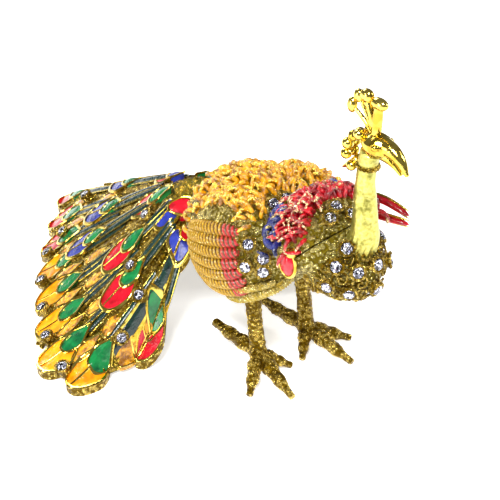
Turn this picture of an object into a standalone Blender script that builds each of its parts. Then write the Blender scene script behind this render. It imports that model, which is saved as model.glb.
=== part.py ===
"""A peacock trinket box of gilt cast metal with enamel and clear glass stones.

The bird stands on its two feet and on the rim of its spread tail. Its back, with both
wings and the ruffs, is a lid that lifts off, and the body under it is hollow.
The bird faces -Y, its left side is +X, and the origin is the middle of the box around
it, on the surface it stands on. All sizes below are in millimetres, and places are
(forward, left, up) of a point below the middle of the back.
"""
import math

import bmesh
import bpy
from mathutils import Matrix, Vector

COLLECTION = "peacock_trinket_box"
MM = 0.001

# Reach of the whole bird
BEAK_TIP = (46.8, 0.0, 63.6)
TAIL_ROOT = -12.0
TAIL_LENGTH = 74.0
MIDDLE = (BEAK_TIP[0] + TAIL_ROOT - TAIL_LENGTH) / 2
GAP = 0.3

# Body, wings and breast: centre and half sizes of each egg shape
BODY = ((2.5, 0.0, 33.0), (20.0, 15.0, 13.4))
HOLLOW = ((2.5, 0.0, 33.0), (18.0, 13.2, 11.6))
BODY_PITCH = 7.0
BREAST = ((31.2, 0.0, 36.6), (8.8, 8.8, 8.8))
NAPE = ((24.5, 0.0, 41.0), (10.0, 13.6, 8.4))
WING = ((8.0, 9.5, 33.8), (14.8, 8.8, 12.2))
WING_PITCH = 15.3
WING_BARS = 7
WING_BAR_TOP = 38.0
WING_BAR_STEP = 12.5
WING_BAR_RADIUS = 1.15
WING_BAR_HEEL = 1.1
WING_BAR_STATIONS = (14.3, 8.0, 1.5, -4.6)

# The seam between lid and body, seen from the side: (forward, up), front to back
SEAM = ((34.2, 48.3), (13.5, 24.0), (-4.0, 24.0), (-13.0, 38.4))
SEAM_TOP = 75.0

# Ruffs of spikes across the back: rows from hind to front, then the leaves of the collar,
# whose line runs forward on both sides. A lean is (forward, left, up) beside the normal.
RUFF_ROWS = 5
RUFF_START = -5.5
RUFF_STEP = 4.8
RUFF_COUNT = 7
RUFF_HALF = 12.0
RUFF_TAPER = 0.35
RUFF_SHIFT = 0.9
RUFF_SPIKE = (1.7, 3.8)
RUFF_LEAN = (-0.5, 0.2, 0.6)
COLLAR_MIDDLE = 18.5
COLLAR_RUN = 9.0
COLLAR_BEND = 1.3
COLLAR_ROWS = (
    (-1.0, 10, (1.5, 4.2), (-0.3, 0.2, 0.8), 11.6),
    (1.6, 9, (1.5, 3.8), (-0.1, 0.3, 0.6), 10.2),
)
SPIKE_ROOT = 1.2
SPIKE_TIP = 0.15
SPIKE_LENGTHS = (0.92, 1.12)
SPIKE_MARGIN = 2.0

# Neck, head, beak and crest: (forward, up, radius) stations, and (forward, left, up, radius) curls
NECK = (
    (35.0, 40.0, 3.6), (38.2, 46.0, 3.3), (37.9, 50.0, 2.5), (37.0, 56.0, 2.3), (36.2, 62.5, 2.4),
)
HEAD = ((35.2, 0.0, 66.4), (3.2, 2.6, 3.4))
UPPER_BEAK = (
    (36.5, 66.8, 1.9), (41.4, 67.6, 1.7), (44.6, 66.6, 1.15), (BEAK_TIP[0], BEAK_TIP[2], 0.4),
)
LOWER_BEAK = ((36.5, 65.0, 1.4), (42.4, 65.0, 1.0), (45.4, 63.4, 0.4))
HEAD_POINT = ((34.0, 63.6, 1.5), (31.4, 61.2, 0.9), (29.3, 59.6, 0.3))
HEAD_CURLS = ((32.2, 1.1, 68.4, 1.3), (31.7, 1.2, 65.8, 1.3), (32.6, 1.1, 63.4, 1.2))
CREST_FOOT = (35.8, 69.0, 0.9)
CREST_THINNING = 0.75
CREST = (
    ((31.3, 74.6), (1.7, 1.0, 1.3)),
    ((32.9, 77.3), (0.9, 0.9, 1.9)),
    ((35.3, 76.8), (1.4, 1.2, 1.0)),
    ((38.6, 76.4), (2.2, 1.2, 1.3)),
)

# Legs and feet
STANCE = 8.0
LEG = ((9.4, 23.6, 2.3), (10.4, 15.0, 1.8), (11.7, 6.0, 2.0))
HUB = (11.7, 5.0, 2.3)
TOES = (
    ((18.6, 16.9, 0.8), (1.9, 1.6, 0.8)),
    ((25.9, 10.0, 0.8), (1.9, 1.6, 0.8)),
    ((16.9, 1.8, 0.8), (1.7, 1.4, 0.8)),
    ((-4.3, 7.7, 5.2), (1.8, 1.6, 0.9)),
)
TOE_MIDDLE = 3.0
TOE_DIP = (2.0, -0.3)
RAISED_TOE = 2.0

# Tail: its outline seen from above, as (back, side) of the tail's root
TAIL_TURN = 2.4
TAIL_SIDE = (7.5, 49.0)
TAIL_BULGE = 3.5
TAIL_FRONT = ((-3.2, 47.2), (-5.0, 29.5))
TAIL_STEPS = 6
TAIL_EDGE_ANGLE = 102.0
ROOT_RADIUS = (10.0, 13.0)
ROOT_HEIGHT = (35.6, 26.0)
RIM_HEIGHT = 1.8
HOLLOWING = (0.93, 1.5)
PLATE = 1.6
PLATE_START = (2.5, 10.0)
PLATE_REACH = 0.93

# Feathers on the tail: widths from the middle to the front, and tips of the inner ones as
# an angle from the middle in degrees and a share of the way out to the rim
OUTER_WIDTHS = (9.0, 9.5, 11.0, 11.5, 11.5, 11.0, 10.0, 8.0, 7.5)
OUTER_FOOT = 0.70
FRONT_FOOT = 0.45
MIDDLE_FEATHERS = ((0, 0.56), (15, 0.68), (31, 0.76), (57, 0.49), (80, 0.53))
INNER_FEATHERS = ((27, 0.30), (100, 0.12))
FEATHER_REACH = 12.0
FEATHER_WIDTH = 7.6
FEATHER_DEPTH = 0.7
FEATHER_HEEL = 0.35
FEATHER_SHOULDER = 0.45
LEAF_RISE = 0.8
UPPER_LEAF_RISE = 1.3

# Stones: radius and rise of a stone, and the rise of the cup it sits in
STONE = 1.4
STONE_RISE = 0.9
TABLE = 0.6
CUP = 1.85
CUP_MOUTH = 0.92
CUP_RISE = 0.45
CUP_DEPTH = 0.8
TAIL_SEAT = 1.2

# Places of the stones: on the breast by angle round it and above level, on the back by
# (forward, left), on a wing by place along it and angle above level, and on the tail by
# angle from its middle and share of the way out to its rim
BREAST_STONES = (
    (-46, 48), (-60, 24), (-30, 17), (-70, -7), (-41, -14), (1, 20), (48, 42), (38, 8), (2, -18),
)
BACK_STONES = (
    (29.6, -3.9), (28.2, -0.8), (30.9, 1.2), (12.9, -4.6), (13.6, -1.3), (17.4, -5.0),
)
WING_STONES = ((17.8, 28), (20.2, 9), (17.0, -3), (19.75, -16))
TAIL_STONES = (
    (18, 0.84), (76, 0.28), (93, 0.34), (95, 0.62), (45, 0.16), (4, 0.74),
    (26, 0.93), (40, 0.94), (56, 0.92), (72, 0.90), (88, 0.92),
)

# Faces round and along each kind of form
EGG_FACES = (18, 10)
BALL_FACES = (14, 9)
HOLLOW_FACES = (14, 8)
WING_FACES = (16, 9)
PLATE_FACES = (21, 5)
LEAF_SIDES = 8
STONE_SIDES = 6
SPIKE_SIDES = 4

# Faces that meet flatter than this, in radians, become one
FLAT_ANGLE = math.radians(3.0)

GOLD = (0.83, 0.62, 0.16)
GLASS = (0.9, 0.93, 1.0)


def place(forward, left, up):
    """The world place of a point given in millimetres of the bird's own frame."""
    return Vector((left, MIDDLE - forward, up)) * MM


def direction(forward, left, up):
    return Vector((left, -forward, up)).normalized()


def material(name, colour, roughness, metallic):
    made = bpy.data.materials.new(name)
    made.use_nodes = True
    shader = made.node_tree.nodes["Principled BSDF"]
    shader.inputs["Base Color"].default_value = (*colour, 1.0)
    shader.inputs["Roughness"].default_value = roughness
    shader.inputs["Metallic"].default_value = metallic
    return made


def add_object(bm, name, collection):
    bmesh.ops.recalc_face_normals(bm, faces=bm.faces)
    mesh = bpy.data.meshes.new(name)
    bm.to_mesh(mesh)
    bm.free()
    made = bpy.data.objects.new(name, mesh)
    collection.objects.link(made)
    return made


def tool(bm, name="form"):
    """A form that is joined to a casting or cut from it, and isn't a part itself."""
    made = add_object(bm, name, tools)
    made.hide_render = True
    made.display_type = "WIRE"
    return made


def egg(form, faces, pitch=0.0, side=1.0):
    """An egg shape from its centre and its half sizes along forward, left and up."""
    centre, radii = form
    bm = bmesh.new()
    bmesh.ops.create_uvsphere(bm, u_segments=faces[0], v_segments=faces[1], radius=1.0)
    scale = Matrix.Diagonal((radii[1], radii[0], radii[2], 1.0)) * MM
    scale[3][3] = 1.0
    turn = Matrix.Rotation(math.radians(-pitch), 4, "X")
    move = Matrix.Translation(place(centre[0], side * centre[1], centre[2]))
    bmesh.ops.transform(bm, matrix=move @ turn @ scale, verts=bm.verts)
    return tool(bm)


def tube(points, sides=8):
    """A closed tube through (place, radius) pairs, with its caps welded."""
    curve = bpy.data.curves.new("tube", "CURVE")
    curve.dimensions = "3D"
    curve.bevel_depth = MM
    curve.bevel_resolution = (sides - 4) // 2
    curve.use_fill_caps = True
    spline = curve.splines.new("POLY")
    spline.points.add(len(points) - 1)
    for point, (where, radius) in zip(spline.points, points):
        point.co = (*where, 1.0)
        point.radius = radius
    drawn = bpy.data.objects.new("tube", curve)
    tools.objects.link(drawn)
    bpy.context.view_layer.update()
    seen = drawn.evaluated_get(bpy.context.evaluated_depsgraph_get())
    mesh = bpy.data.meshes.new_from_object(seen)
    bm = bmesh.new()
    bm.from_mesh(mesh)
    bmesh.ops.remove_doubles(bm, verts=bm.verts, dist=0.00001)
    bpy.data.objects.remove(drawn)
    bpy.data.meshes.remove(mesh)
    return tool(bm)


def spine(stations):
    """Tube points in the middle plane from (forward, up, radius) stations."""
    return [(place(forward, 0.0, up), radius) for forward, up, radius in stations]


def cone(foot, axis, base, top, length, sides, name="form"):
    """A closed cone or frustum that starts at foot and runs along axis."""
    bm = bmesh.new()
    bmesh.ops.create_cone(
        bm, cap_ends=True, segments=sides, radius1=base * MM, radius2=top * MM, depth=length * MM
    )
    bmesh.ops.translate(bm, verts=bm.verts, vec=(0.0, 0.0, length * MM / 2))
    turn = Vector((0.0, 0.0, 1.0)).rotation_difference(axis).to_matrix().to_4x4()
    bmesh.ops.transform(bm, matrix=Matrix.Translation(foot) @ turn, verts=bm.verts)
    return tool(bm, name)


def prism(outline, half_width):
    """A (forward, up) outline carried across the bird, half_width to each side."""
    bm = bmesh.new()
    ring = [bm.verts.new(place(forward, -half_width, up)) for forward, up in outline]
    face = bm.faces.new(ring)
    grown = bmesh.ops.extrude_face_region(bm, geom=[face])["geom"]
    moved = [item for item in grown if isinstance(item, bmesh.types.BMVert)]
    bmesh.ops.translate(bm, verts=moved, vec=(2 * half_width * MM, 0.0, 0.0))
    return tool(bm)


def boolean(target, others, operation):
    """Join others to target, cut them away or keep what is common, and remove them."""
    group = bpy.data.collections.new("operands")
    tools.children.link(group)
    for other in others:
        tools.objects.unlink(other)
        group.objects.link(other)
    modifier = target.modifiers.new(operation, "BOOLEAN")
    modifier.operation = operation
    modifier.solver = "EXACT"
    modifier.operand_type = "COLLECTION"
    modifier.collection = group
    bpy.context.view_layer.update()
    seen = target.evaluated_get(bpy.context.evaluated_depsgraph_get())
    mesh = bpy.data.meshes.new_from_object(seen)
    target.modifiers.clear()
    old, target.data = target.data, mesh
    bpy.data.meshes.remove(old)
    for other in others:
        bpy.data.objects.remove(other)
    bpy.data.collections.remove(group)
    tidy(target)
    return target


def tidy(target):
    """Merge points that lie together and split faces into triangles."""
    bm = bmesh.new()
    bm.from_mesh(target.data)
    bmesh.ops.remove_doubles(bm, verts=bm.verts, dist=0.000004)
    bmesh.ops.dissolve_degenerate(bm, edges=bm.edges, dist=0.000004)
    bmesh.ops.dissolve_limit(
        bm, angle_limit=FLAT_ANGLE, verts=bm.verts, edges=bm.edges, use_dissolve_boundaries=False
    )
    bmesh.ops.triangulate(bm, faces=bm.faces)
    bm.to_mesh(target.data)
    bm.free()


def copy_of(source):
    made = source.copy()
    made.data = source.data.copy()
    tools.objects.link(made)
    return made


def finish(target, name, made_of):
    """Name a finished part, give it its material and move it to the parts' collection."""
    target.name = name
    target.data.name = name
    target.data.materials.clear()
    target.data.materials.append(made_of)
    target.hide_render = False
    target.display_type = "TEXTURED"
    tools.objects.unlink(target)
    parts.objects.link(target)
    target.data.shade_smooth()
    target.data.set_sharp_from_angle(angle=math.radians(35))
    return target


def lid_side(clearance):
    """The space above the seam, drawn in by the given clearance."""
    outline = []
    for index, (forward, up) in enumerate(SEAM):
        before = SEAM[max(index - 1, 0)]
        after = SEAM[min(index + 1, len(SEAM) - 1)]
        along = Vector((after[0] - before[0], after[1] - before[1])).normalized()
        outline.append((forward + clearance * along.y, up - clearance * along.x))
    slope = Vector((SEAM[3][0] - SEAM[2][0], SEAM[3][1] - SEAM[2][1]))
    rise = (SEAM_TOP - outline[-1][1]) / slope.y
    outline.append((outline[-1][0] + slope.x * rise, SEAM_TOP))
    outline.append((outline[0][0], SEAM_TOP))
    return prism(outline, 40.0)


def on_egg(form, forward, left, side=1.0, pitch=0.0):
    """Height and outward normal of the upper surface of an egg shape, or None beside it.

    In the egg's own frame, pitched nose up, x/a squared + y/b squared + z/c squared is 1,
    which is a quadratic for the height above the egg's centre.
    """
    centre, (long, wide, tall) = form
    cosine, sine = math.cos(math.radians(pitch)), math.sin(math.radians(pitch))
    ahead, out = forward - centre[0], left - side * centre[1]
    square = (sine / long) ** 2 + (cosine / tall) ** 2
    linear = 2 * ahead * sine * cosine * (1 / long**2 - 1 / tall**2)
    fixed = ahead**2 * ((cosine / long) ** 2 + (sine / tall) ** 2) + (out / wide) ** 2 - 1
    inside = linear**2 - 4 * square * fixed
    if inside <= 0.0:
        return None
    rise = (math.sqrt(inside) - linear) / (2 * square)
    x = (ahead * cosine + rise * sine) / long**2
    z = (rise * cosine - ahead * sine) / tall**2
    normal = direction(x * cosine - z * sine, out / wide**2, x * sine + z * cosine)
    return centre[2] + rise, normal


def on_back(forward, left):
    """Place and normal of the highest body surface above a point."""
    found = [on_egg(BODY, forward, left, 1.0, BODY_PITCH), on_egg(NAPE, forward, left)]
    found += [on_egg(WING, forward, left, side, WING_PITCH) for side in (-1.0, 1.0)]
    height, normal = max((hit for hit in found if hit), key=lambda hit: hit[0])
    return place(forward, left, height), normal


def on_ball(form, around, above, side=1.0):
    """Place and normal on an egg shape, by the angle around it from ahead and above level."""
    centre, radii = form
    a, b = math.radians(around), math.radians(above)
    x, y, z = math.cos(b) * math.cos(a), math.cos(b) * math.sin(a), math.sin(b)
    ahead, out = centre[0] + radii[0] * x, side * centre[1] + radii[1] * y
    where = place(ahead, out, centre[2] + radii[2] * z)
    return where, direction(x / radii[0], y / radii[1], z / radii[2])


def on_wing(forward, above, side):
    """Place and outward normal on a wing, by place along it and angle above level."""
    (ahead, out, up), radii = WING
    slope = math.radians(WING_PITCH)
    x = (forward - ahead) / math.cos(slope) / radii[0]
    ring = math.sqrt(max(1 - x * x, 0.0))
    y, z = ring * math.cos(math.radians(above)), ring * math.sin(math.radians(above))
    rise = radii[2] * z
    run = radii[0] * x
    where = place(
        ahead + run * math.cos(slope) - rise * math.sin(slope),
        side * (out + radii[1] * y),
        up + run * math.sin(slope) + rise * math.cos(slope),
    )
    nx, nz = x / radii[0], z / radii[2]
    normal = direction(
        nx * math.cos(slope) - nz * math.sin(slope),
        side * y / radii[1],
        nx * math.sin(slope) + nz * math.cos(slope),
    )
    return where, normal


def tail_tips():
    """(back, side) of the outer feathers' tips on one side, from the middle to the front."""
    tips = []
    across = Vector((TAIL_SIDE[1], TAIL_LENGTH - TAIL_SIDE[0])).normalized()
    for step in range(TAIL_STEPS + 1):
        t = step / TAIL_STEPS
        straight = Vector((TAIL_LENGTH, 0.0)).lerp(Vector(TAIL_SIDE), t)
        tips.append(straight + across * TAIL_BULGE * 4 * t * (1 - t))
    return tips + [Vector(tip) for tip in TAIL_FRONT]


def rim_radius(angle):
    """Distance from the tail's root to its rim at an angle from the middle, in degrees."""
    angle = abs(angle)
    tips = [(math.degrees(math.atan2(tip.y, tip.x)), tip.length) for tip in tail_tips()]
    for (a, near), (b, far) in zip(tips, tips[1:]):
        if angle <= b:
            return near + (far - near) * (angle - a) / (b - a)
    return tips[-1][1]


def blend(pair, angle):
    """A value that goes from the middle's to the edge's over the tail's angle."""
    return pair[0] + (pair[1] - pair[0]) * min(abs(angle) / TAIL_EDGE_ANGLE, 1.0)


def tail_height(angle, radius):
    """Height of the tail's upper surface, a skirt that falls from the body to its rim."""
    root = blend(ROOT_RADIUS, angle)
    turned = min(abs(angle) / TAIL_EDGE_ANGLE, 1.0)
    top = ROOT_HEIGHT[0] + (ROOT_HEIGHT[1] - ROOT_HEIGHT[0]) * turned**1.5
    share = (radius - root) / (rim_radius(angle) - root)
    return RIM_HEIGHT + (top - RIM_HEIGHT) * max(1.0 - share, 0.0) ** blend(HOLLOWING, angle)


def tail_place(back, side, lift=0.0):
    """World place on the tail's upper surface, from (back, side) of its root."""
    angle = math.degrees(math.atan2(side, back))
    radius = math.hypot(back, side)
    world = math.radians(angle - TAIL_TURN)
    height = tail_height(angle, radius) + lift
    return place(TAIL_ROOT - radius * math.cos(world), -radius * math.sin(world), height)


def tail_point(angle, share):
    """(back, side) at an angle from the middle and a share of the way out to the rim."""
    root = blend(ROOT_RADIUS, angle)
    radius = root + (rim_radius(angle) - root) * share
    turn = math.radians(angle)
    return Vector((radius * math.cos(turn), radius * math.sin(turn)))


def tail_plate():
    """The skirt under the feathers, a bent sheet given its thickness downwards."""
    columns, rows = PLATE_FACES
    bm = bmesh.new()
    bmesh.ops.create_grid(bm, x_segments=columns, y_segments=rows, size=1.0)
    for vert in bm.verts:
        angle = vert.co.x * TAIL_EDGE_ANGLE
        start, end = blend(PLATE_START, angle), PLATE_REACH * rim_radius(angle)
        radius = start + (end - start) * (vert.co.y + 1) / 2
        turn = math.radians(angle)
        vert.co = tail_place(radius * math.cos(turn), radius * math.sin(turn))
    grown = bmesh.ops.extrude_face_region(bm, geom=bm.faces[:])["geom"]
    moved = [item for item in grown if isinstance(item, bmesh.types.BMVert)]
    bmesh.ops.translate(bm, verts=moved, vec=(0.0, 0.0, -PLATE * MM))
    return tool(bm)


def feather(foot, tip, width, rise, depth):
    """A drop-shaped leaf laid on the tail from foot to tip, broadest near its tip."""
    along = tip - foot
    across = Vector((-along.y, along.x)).normalized() * width / 2
    bm = bmesh.new()
    bmesh.ops.create_circle(bm, cap_ends=True, segments=LEAF_SIDES, radius=1.0)
    spots = {}
    for vert in bm.verts:
        t = (1 + vert.co.x) / 2
        spread = vert.co.y * (FEATHER_HEEL + (1 - FEATHER_HEEL) * min(t / FEATHER_SHOULDER, 1.0))
        spots[vert.index] = foot + along * t + across * spread
    bm.verts.ensure_lookup_table()
    for index, spot in spots.items():
        bm.verts[index].co = tail_place(spot.x, spot.y, -depth)
    grown = bmesh.ops.extrude_face_region(bm, geom=bm.faces[:])["geom"]
    moved = [item for item in grown if isinstance(item, bmesh.types.BMVert)]
    bmesh.ops.translate(bm, verts=moved, vec=(0.0, 0.0, (rise + depth) * MM))
    return tool(bm)


def tail_feathers():
    """Outer, middle and inner feathers on both sides of the tail's middle."""
    made = []
    tips = tail_tips()
    for index, tip in enumerate(tips):
        foot = OUTER_FOOT if index < len(tips) - 1 else FRONT_FOOT
        for side in ((1.0,) if index == 0 else (-1.0, 1.0)):
            end = Vector((tip.x, tip.y * side))
            made.append(feather(end * foot, end, OUTER_WIDTHS[index], LEAF_RISE, RIM_HEIGHT + GAP))
    for angle, share in MIDDLE_FEATHERS + INNER_FEATHERS:
        for side in ((1.0,) if angle == 0 else (-1.0, 1.0)):
            end = tail_point(angle * side, share)
            foot = tail_point(angle * side, max(share - FEATHER_REACH / rim_radius(angle), 0.0))
            made.append(feather(foot, end, FEATHER_WIDTH, UPPER_LEAF_RISE, FEATHER_DEPTH))
    return made


def stone_seats():
    """(name, place, outward direction) of every stone, with the part that carries it."""
    seats = []
    for index, (around, above) in enumerate(BREAST_STONES):
        seats.append((f"breast_stone_{index + 1}", "base", *on_ball(BREAST, around, above)))
    for index, (forward, left) in enumerate(BACK_STONES):
        seats.append((f"back_stone_{index + 1}", "lid", *on_back(forward, left)))
    for side, label in ((-1.0, "right"), (1.0, "left")):
        for index, (forward, above) in enumerate(WING_STONES):
            where, normal = on_wing(forward, above, side)
            seats.append((f"wing_stone_{label}_{index + 1}", "lid", where, normal))
    for side, label in ((1.0, "right"), (-1.0, "left")):
        for index, (angle, share) in enumerate(TAIL_STONES):
            spot = tail_point(angle * side, share)
            where = tail_place(spot.x, spot.y, TAIL_SEAT)
            ahead = tail_place(spot.x + 0.5, spot.y, TAIL_SEAT) - where
            beside = tail_place(spot.x, spot.y + 0.5, TAIL_SEAT) - where
            normal = ahead.cross(beside).normalized()
            normal = normal if normal.z > 0 else -normal
            seats.append((f"tail_stone_{label}_{index + 1}", "base", where, normal))
    return seats


def stone(where, normal):
    """A faceted stone: a flat table over sloping sides, closed by a flat back."""
    foot = where + normal * (CUP_RISE + GAP) * MM
    return cone(foot, normal, STONE, STONE * TABLE, STONE_RISE, STONE_SIDES)


def cup(where, normal, depth):
    """The raised seat under a stone, sunk to a depth into what carries it."""
    foot = where - normal * depth * MM
    return cone(foot, normal, CUP, CUP * CUP_MOUTH, CUP_RISE + depth, STONE_SIDES)


def body_shell():
    """The body, breast and nape as one solid, before the seam parts it."""
    added = [egg(BREAST, BALL_FACES), egg(NAPE, BALL_FACES)]
    return boolean(egg(BODY, EGG_FACES, BODY_PITCH), added, "UNION")


def head_and_neck():
    """Neck, head, both halves of the beak, the curls behind the head and the crest."""
    made = [tube(spine(NECK), 10), egg(HEAD, (10, 7))]
    made += [tube(spine(stations), 6) for stations in (UPPER_BEAK, LOWER_BEAK, HEAD_POINT)]
    for forward, left, up, radius in HEAD_CURLS:
        for side in (-1.0, 1.0):
            made.append(egg(((forward, side * left, up), (radius, radius, radius)), (6, 4)))
    foot_forward, foot_up, foot_radius = CREST_FOOT
    for (forward, up), radii in CREST:
        tip = (forward, up, foot_radius * CREST_THINNING)
        made.append(tube(spine(((foot_forward, foot_up - 1, foot_radius), tip)), 6))
        made.append(egg(((forward, 0.0, up), radii), (7, 5)))
    return made


def leg(side):
    """A leg, the hub of its foot, and three toes ahead and one behind."""
    stations = [(place(forward, side * STANCE, up), radius) for forward, up, radius in LEG]
    hub_forward, hub_up, hub_radius = HUB
    hub = egg(((hub_forward, side * STANCE, hub_up), (hub_radius,) * 3), (8, 6))
    made = [tube(stations), hub]
    for (forward, left, up), radii in TOES:
        height = up + TOE_DIP[1] if up > RAISED_TOE else min(TOE_MIDDLE, up + TOE_DIP[0])
        middle = ((hub_forward + forward) / 2, (STANCE + left) / 2, height)
        points = ((hub_forward, STANCE, hub_up), middle, (forward, left, up))
        places = [place(ahead, side * out, rise) for ahead, out, rise in points]
        made.append(tube(list(zip(places, radii)), 6))
    return made


def wing(side):
    """A wing's pad with the ribs across its hind half."""
    made = [egg(WING, WING_FACES, WING_PITCH, side)]
    for bar in range(WING_BARS):
        above = WING_BAR_TOP - bar * WING_BAR_STEP
        stations = []
        for forward in WING_BAR_STATIONS:
            where, normal = on_wing(forward, above, side)
            radius = WING_BAR_RADIUS * (WING_BAR_HEEL if forward < 0 else 1.0)
            stations.append((where + normal * 0.1 * MM, radius))
        made.append(tube(stations, 6))
    return made


def ruff(line, count, size, lean, start, end, taken):
    """Spikes side by side from start to end of a line across the back.

    line gives the place forward of a place left, and size is a spike's radius and
    length. A spike that would stand on a stone's place is left out.
    """
    made = []
    radius, length = size
    for index in range(count):
        left = start + (end - start) * index / (count - 1)
        where, normal = on_back(line(left), left)
        margin = (radius + STONE + SPIKE_MARGIN) * MM
        if any((where - spot).length < margin for spot in taken):
            continue
        sideways = math.copysign(1.0, left) if abs(left) > 0.5 else 0.0
        axis = (normal + direction(lean[0], lean[1] * sideways, lean[2])).normalized()
        rise = length * SPIKE_LENGTHS[index % 2] + SPIKE_ROOT
        made.append(cone(where - axis * SPIKE_ROOT * MM, axis, radius, SPIKE_TIP, rise, SPIKE_SIDES))
    return made


def collar(left):
    """How far forward the collar's line runs at a place left or right of the middle."""
    return COLLAR_MIDDLE + COLLAR_RUN * (abs(left) / RUFF_HALF) ** COLLAR_BEND


def ruffs(taken):
    """The back ruff in rows, and the blue and red leaves along the collar."""
    made = []
    for row in range(RUFF_ROWS):
        ahead = RUFF_START + row * RUFF_STEP
        half = RUFF_HALF - RUFF_TAPER * abs(ahead - BODY[0][0])
        shift = RUFF_SHIFT if row % 2 else 0.0
        ends = (shift - half, half - shift)
        made += ruff(lambda left: ahead, RUFF_COUNT, RUFF_SPIKE, RUFF_LEAN, *ends, taken)
    for ahead, count, size, lean, half in COLLAR_ROWS:
        made += ruff(lambda left: collar(left) + ahead, count, size, lean, -half, half, taken)
    return made


def build():
    """The lid and the base, each one casting, and the stones that sit in their cups."""
    gold = material("gilt_cast_metal", GOLD, 0.28, 1.0)
    glass = material("clear_stone", GLASS, 0.05, 0.0)
    seats = stone_seats()

    shell = body_shell()
    taken = [where for _, carrier, where, _ in seats if carrier == "lid"]
    lid = boolean(copy_of(shell), wing(-1.0) + wing(1.0), "UNION")
    boolean(lid, [lid_side(GAP / 2)], "INTERSECT")
    boolean(lid, [egg(HOLLOW, HOLLOW_FACES, BODY_PITCH)], "DIFFERENCE")
    held = [(where, normal) for _, carrier, where, normal in seats if carrier == "lid"]
    cups = [cup(where, normal, CUP_DEPTH) for where, normal in held]
    boolean(lid, ruffs(taken) + cups, "UNION")
    finish(lid, "back_lid", gold)

    base = boolean(shell, [lid_side(-GAP / 2)], "DIFFERENCE")
    forms = head_and_neck() + leg(-1.0) + leg(1.0) + [tail_plate()] + tail_feathers()
    for name, carrier, where, normal in seats:
        if carrier == "base":
            forms.append(cup(where, normal, CUP_DEPTH + (TAIL_SEAT if "tail" in name else 0.0)))
    boolean(base, forms, "UNION")
    ground = prism(((-100, -20), (100, -20), (100, 0), (-100, 0)), 80.0)
    boolean(base, [egg(HOLLOW, HOLLOW_FACES, BODY_PITCH), ground], "DIFFERENCE")
    finish(base, "body_with_tail", gold)

    for name, _, where, normal in seats:
        finish(stone(where, normal), name, glass)


for stale in list(bpy.data.objects):
    bpy.data.objects.remove(stale, do_unlink=True)
parts = bpy.data.collections.new(COLLECTION)
tools = bpy.data.collections.new("forms_and_cutters")
bpy.context.scene.collection.children.link(parts)
bpy.context.scene.collection.children.link(tools)
build()
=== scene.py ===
"""A peacock trinket box: gilt cast metal, coloured enamel and clear glass stones.

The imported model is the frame. Every piece below is worked out in the bird's own
millimetres, as (forward, left, up), and world() turns those into the frame's metres.
"""

import math

import bmesh
import bpy
import numpy as np
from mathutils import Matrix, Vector

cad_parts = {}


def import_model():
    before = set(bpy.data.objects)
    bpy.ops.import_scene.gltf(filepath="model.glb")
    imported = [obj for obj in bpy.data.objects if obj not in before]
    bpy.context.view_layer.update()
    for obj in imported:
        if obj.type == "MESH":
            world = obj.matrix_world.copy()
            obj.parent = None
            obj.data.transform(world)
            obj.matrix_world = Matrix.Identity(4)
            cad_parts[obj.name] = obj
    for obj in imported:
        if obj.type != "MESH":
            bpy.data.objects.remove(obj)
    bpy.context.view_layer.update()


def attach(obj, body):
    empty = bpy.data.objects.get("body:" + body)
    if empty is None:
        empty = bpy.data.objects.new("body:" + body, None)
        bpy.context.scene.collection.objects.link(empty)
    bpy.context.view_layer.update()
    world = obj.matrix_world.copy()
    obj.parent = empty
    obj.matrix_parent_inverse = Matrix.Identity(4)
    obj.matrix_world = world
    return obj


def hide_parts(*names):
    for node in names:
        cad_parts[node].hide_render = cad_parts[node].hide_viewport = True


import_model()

MM = 0.001

# Reach of the bird, and the eggs its body is made of: centre and half sizes
BEAK_TIP = (46.8, 63.6)
TAIL_ROOT = -12.0
TAIL_LENGTH = 74.0
MIDDLE = (BEAK_TIP[0] + TAIL_ROOT - TAIL_LENGTH) / 2
BODY = ((2.5, 0.0, 33.0), (20.0, 15.0, 13.4))
BODY_PITCH = math.radians(7.0)
BREAST = ((31.2, 0.0, 36.6), (8.8, 8.8, 8.8))
NAPE = ((24.5, 0.0, 41.0), (10.0, 13.6, 8.4))
HEART = (21.0, 0.0, 37.0)
WING = ((8.0, 9.5, 33.8), (14.8, 8.8, 12.2))
WING_PITCH = math.radians(15.3)
SEAM = ((34.2, 48.3), (13.5, 24.0), (-4.0, 24.0), (-13.0, 38.4), (-35.9, 75.0))
SEAM_GAP = 0.35
WALL = 1.4

# Tail: its outline seen from above, as (back, side) of its root
TAIL_TURN = math.radians(2.4)
TAIL_SIDE = (7.5, 49.0)
TAIL_BULGE = 3.5
TAIL_FRONT = ((-3.2, 47.2), (-5.0, 29.5))
TAIL_STEPS = 6
TAIL_EDGE = math.radians(102.0)
ROOT_RADIUS = (10.0, 13.0)
ROOT_HEIGHT = (35.6, 26.0)
RIM_HEIGHT = 1.8
HOLLOWING = (0.93, 1.5)
PLATE = 1.6
PLATE_START = (2.5, 10.0)
PLATE_REACH = 0.93

# Stones
STONE = 1.4
STONE_TOP = 1.65
BREAST_STONES = (
    (-46, 48), (-60, 24), (-30, 17), (-70, -7), (-41, -14), (1, 20), (48, 42), (38, 8), (2, -18),
)
BACK_STONES = (
    (29.6, -3.9), (28.2, -0.8), (30.9, 1.2), (12.9, -4.6), (13.6, -1.3), (17.4, -5.0),
)
WING_STONES = ((17.8, 28), (20.2, 9), (17.0, -3), (19.75, -16))
TAIL_STONES = (
    (18, 0.84), (76, 0.28), (93, 0.34), (95, 0.62), (45, 0.16), (4, 0.74),
    (26, 0.93), (40, 0.94), (56, 0.92), (72, 0.90), (88, 0.92),
)
TAIL_SEAT = 1.2
CUP_DEPTH = 0.8
TAIL_CUP_DEPTH = 2.0

# Camera: heading and height in degrees, distance and aim in millimetres of the frame
HEADING = 48.0
ELEVATION = 32.0
DISTANCE = 288.0
AIM = (0.0, 0.0, 24.96)
LENS = 86.4
SENSOR = 36.0
CLIP = (0.01, 10.0)

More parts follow.
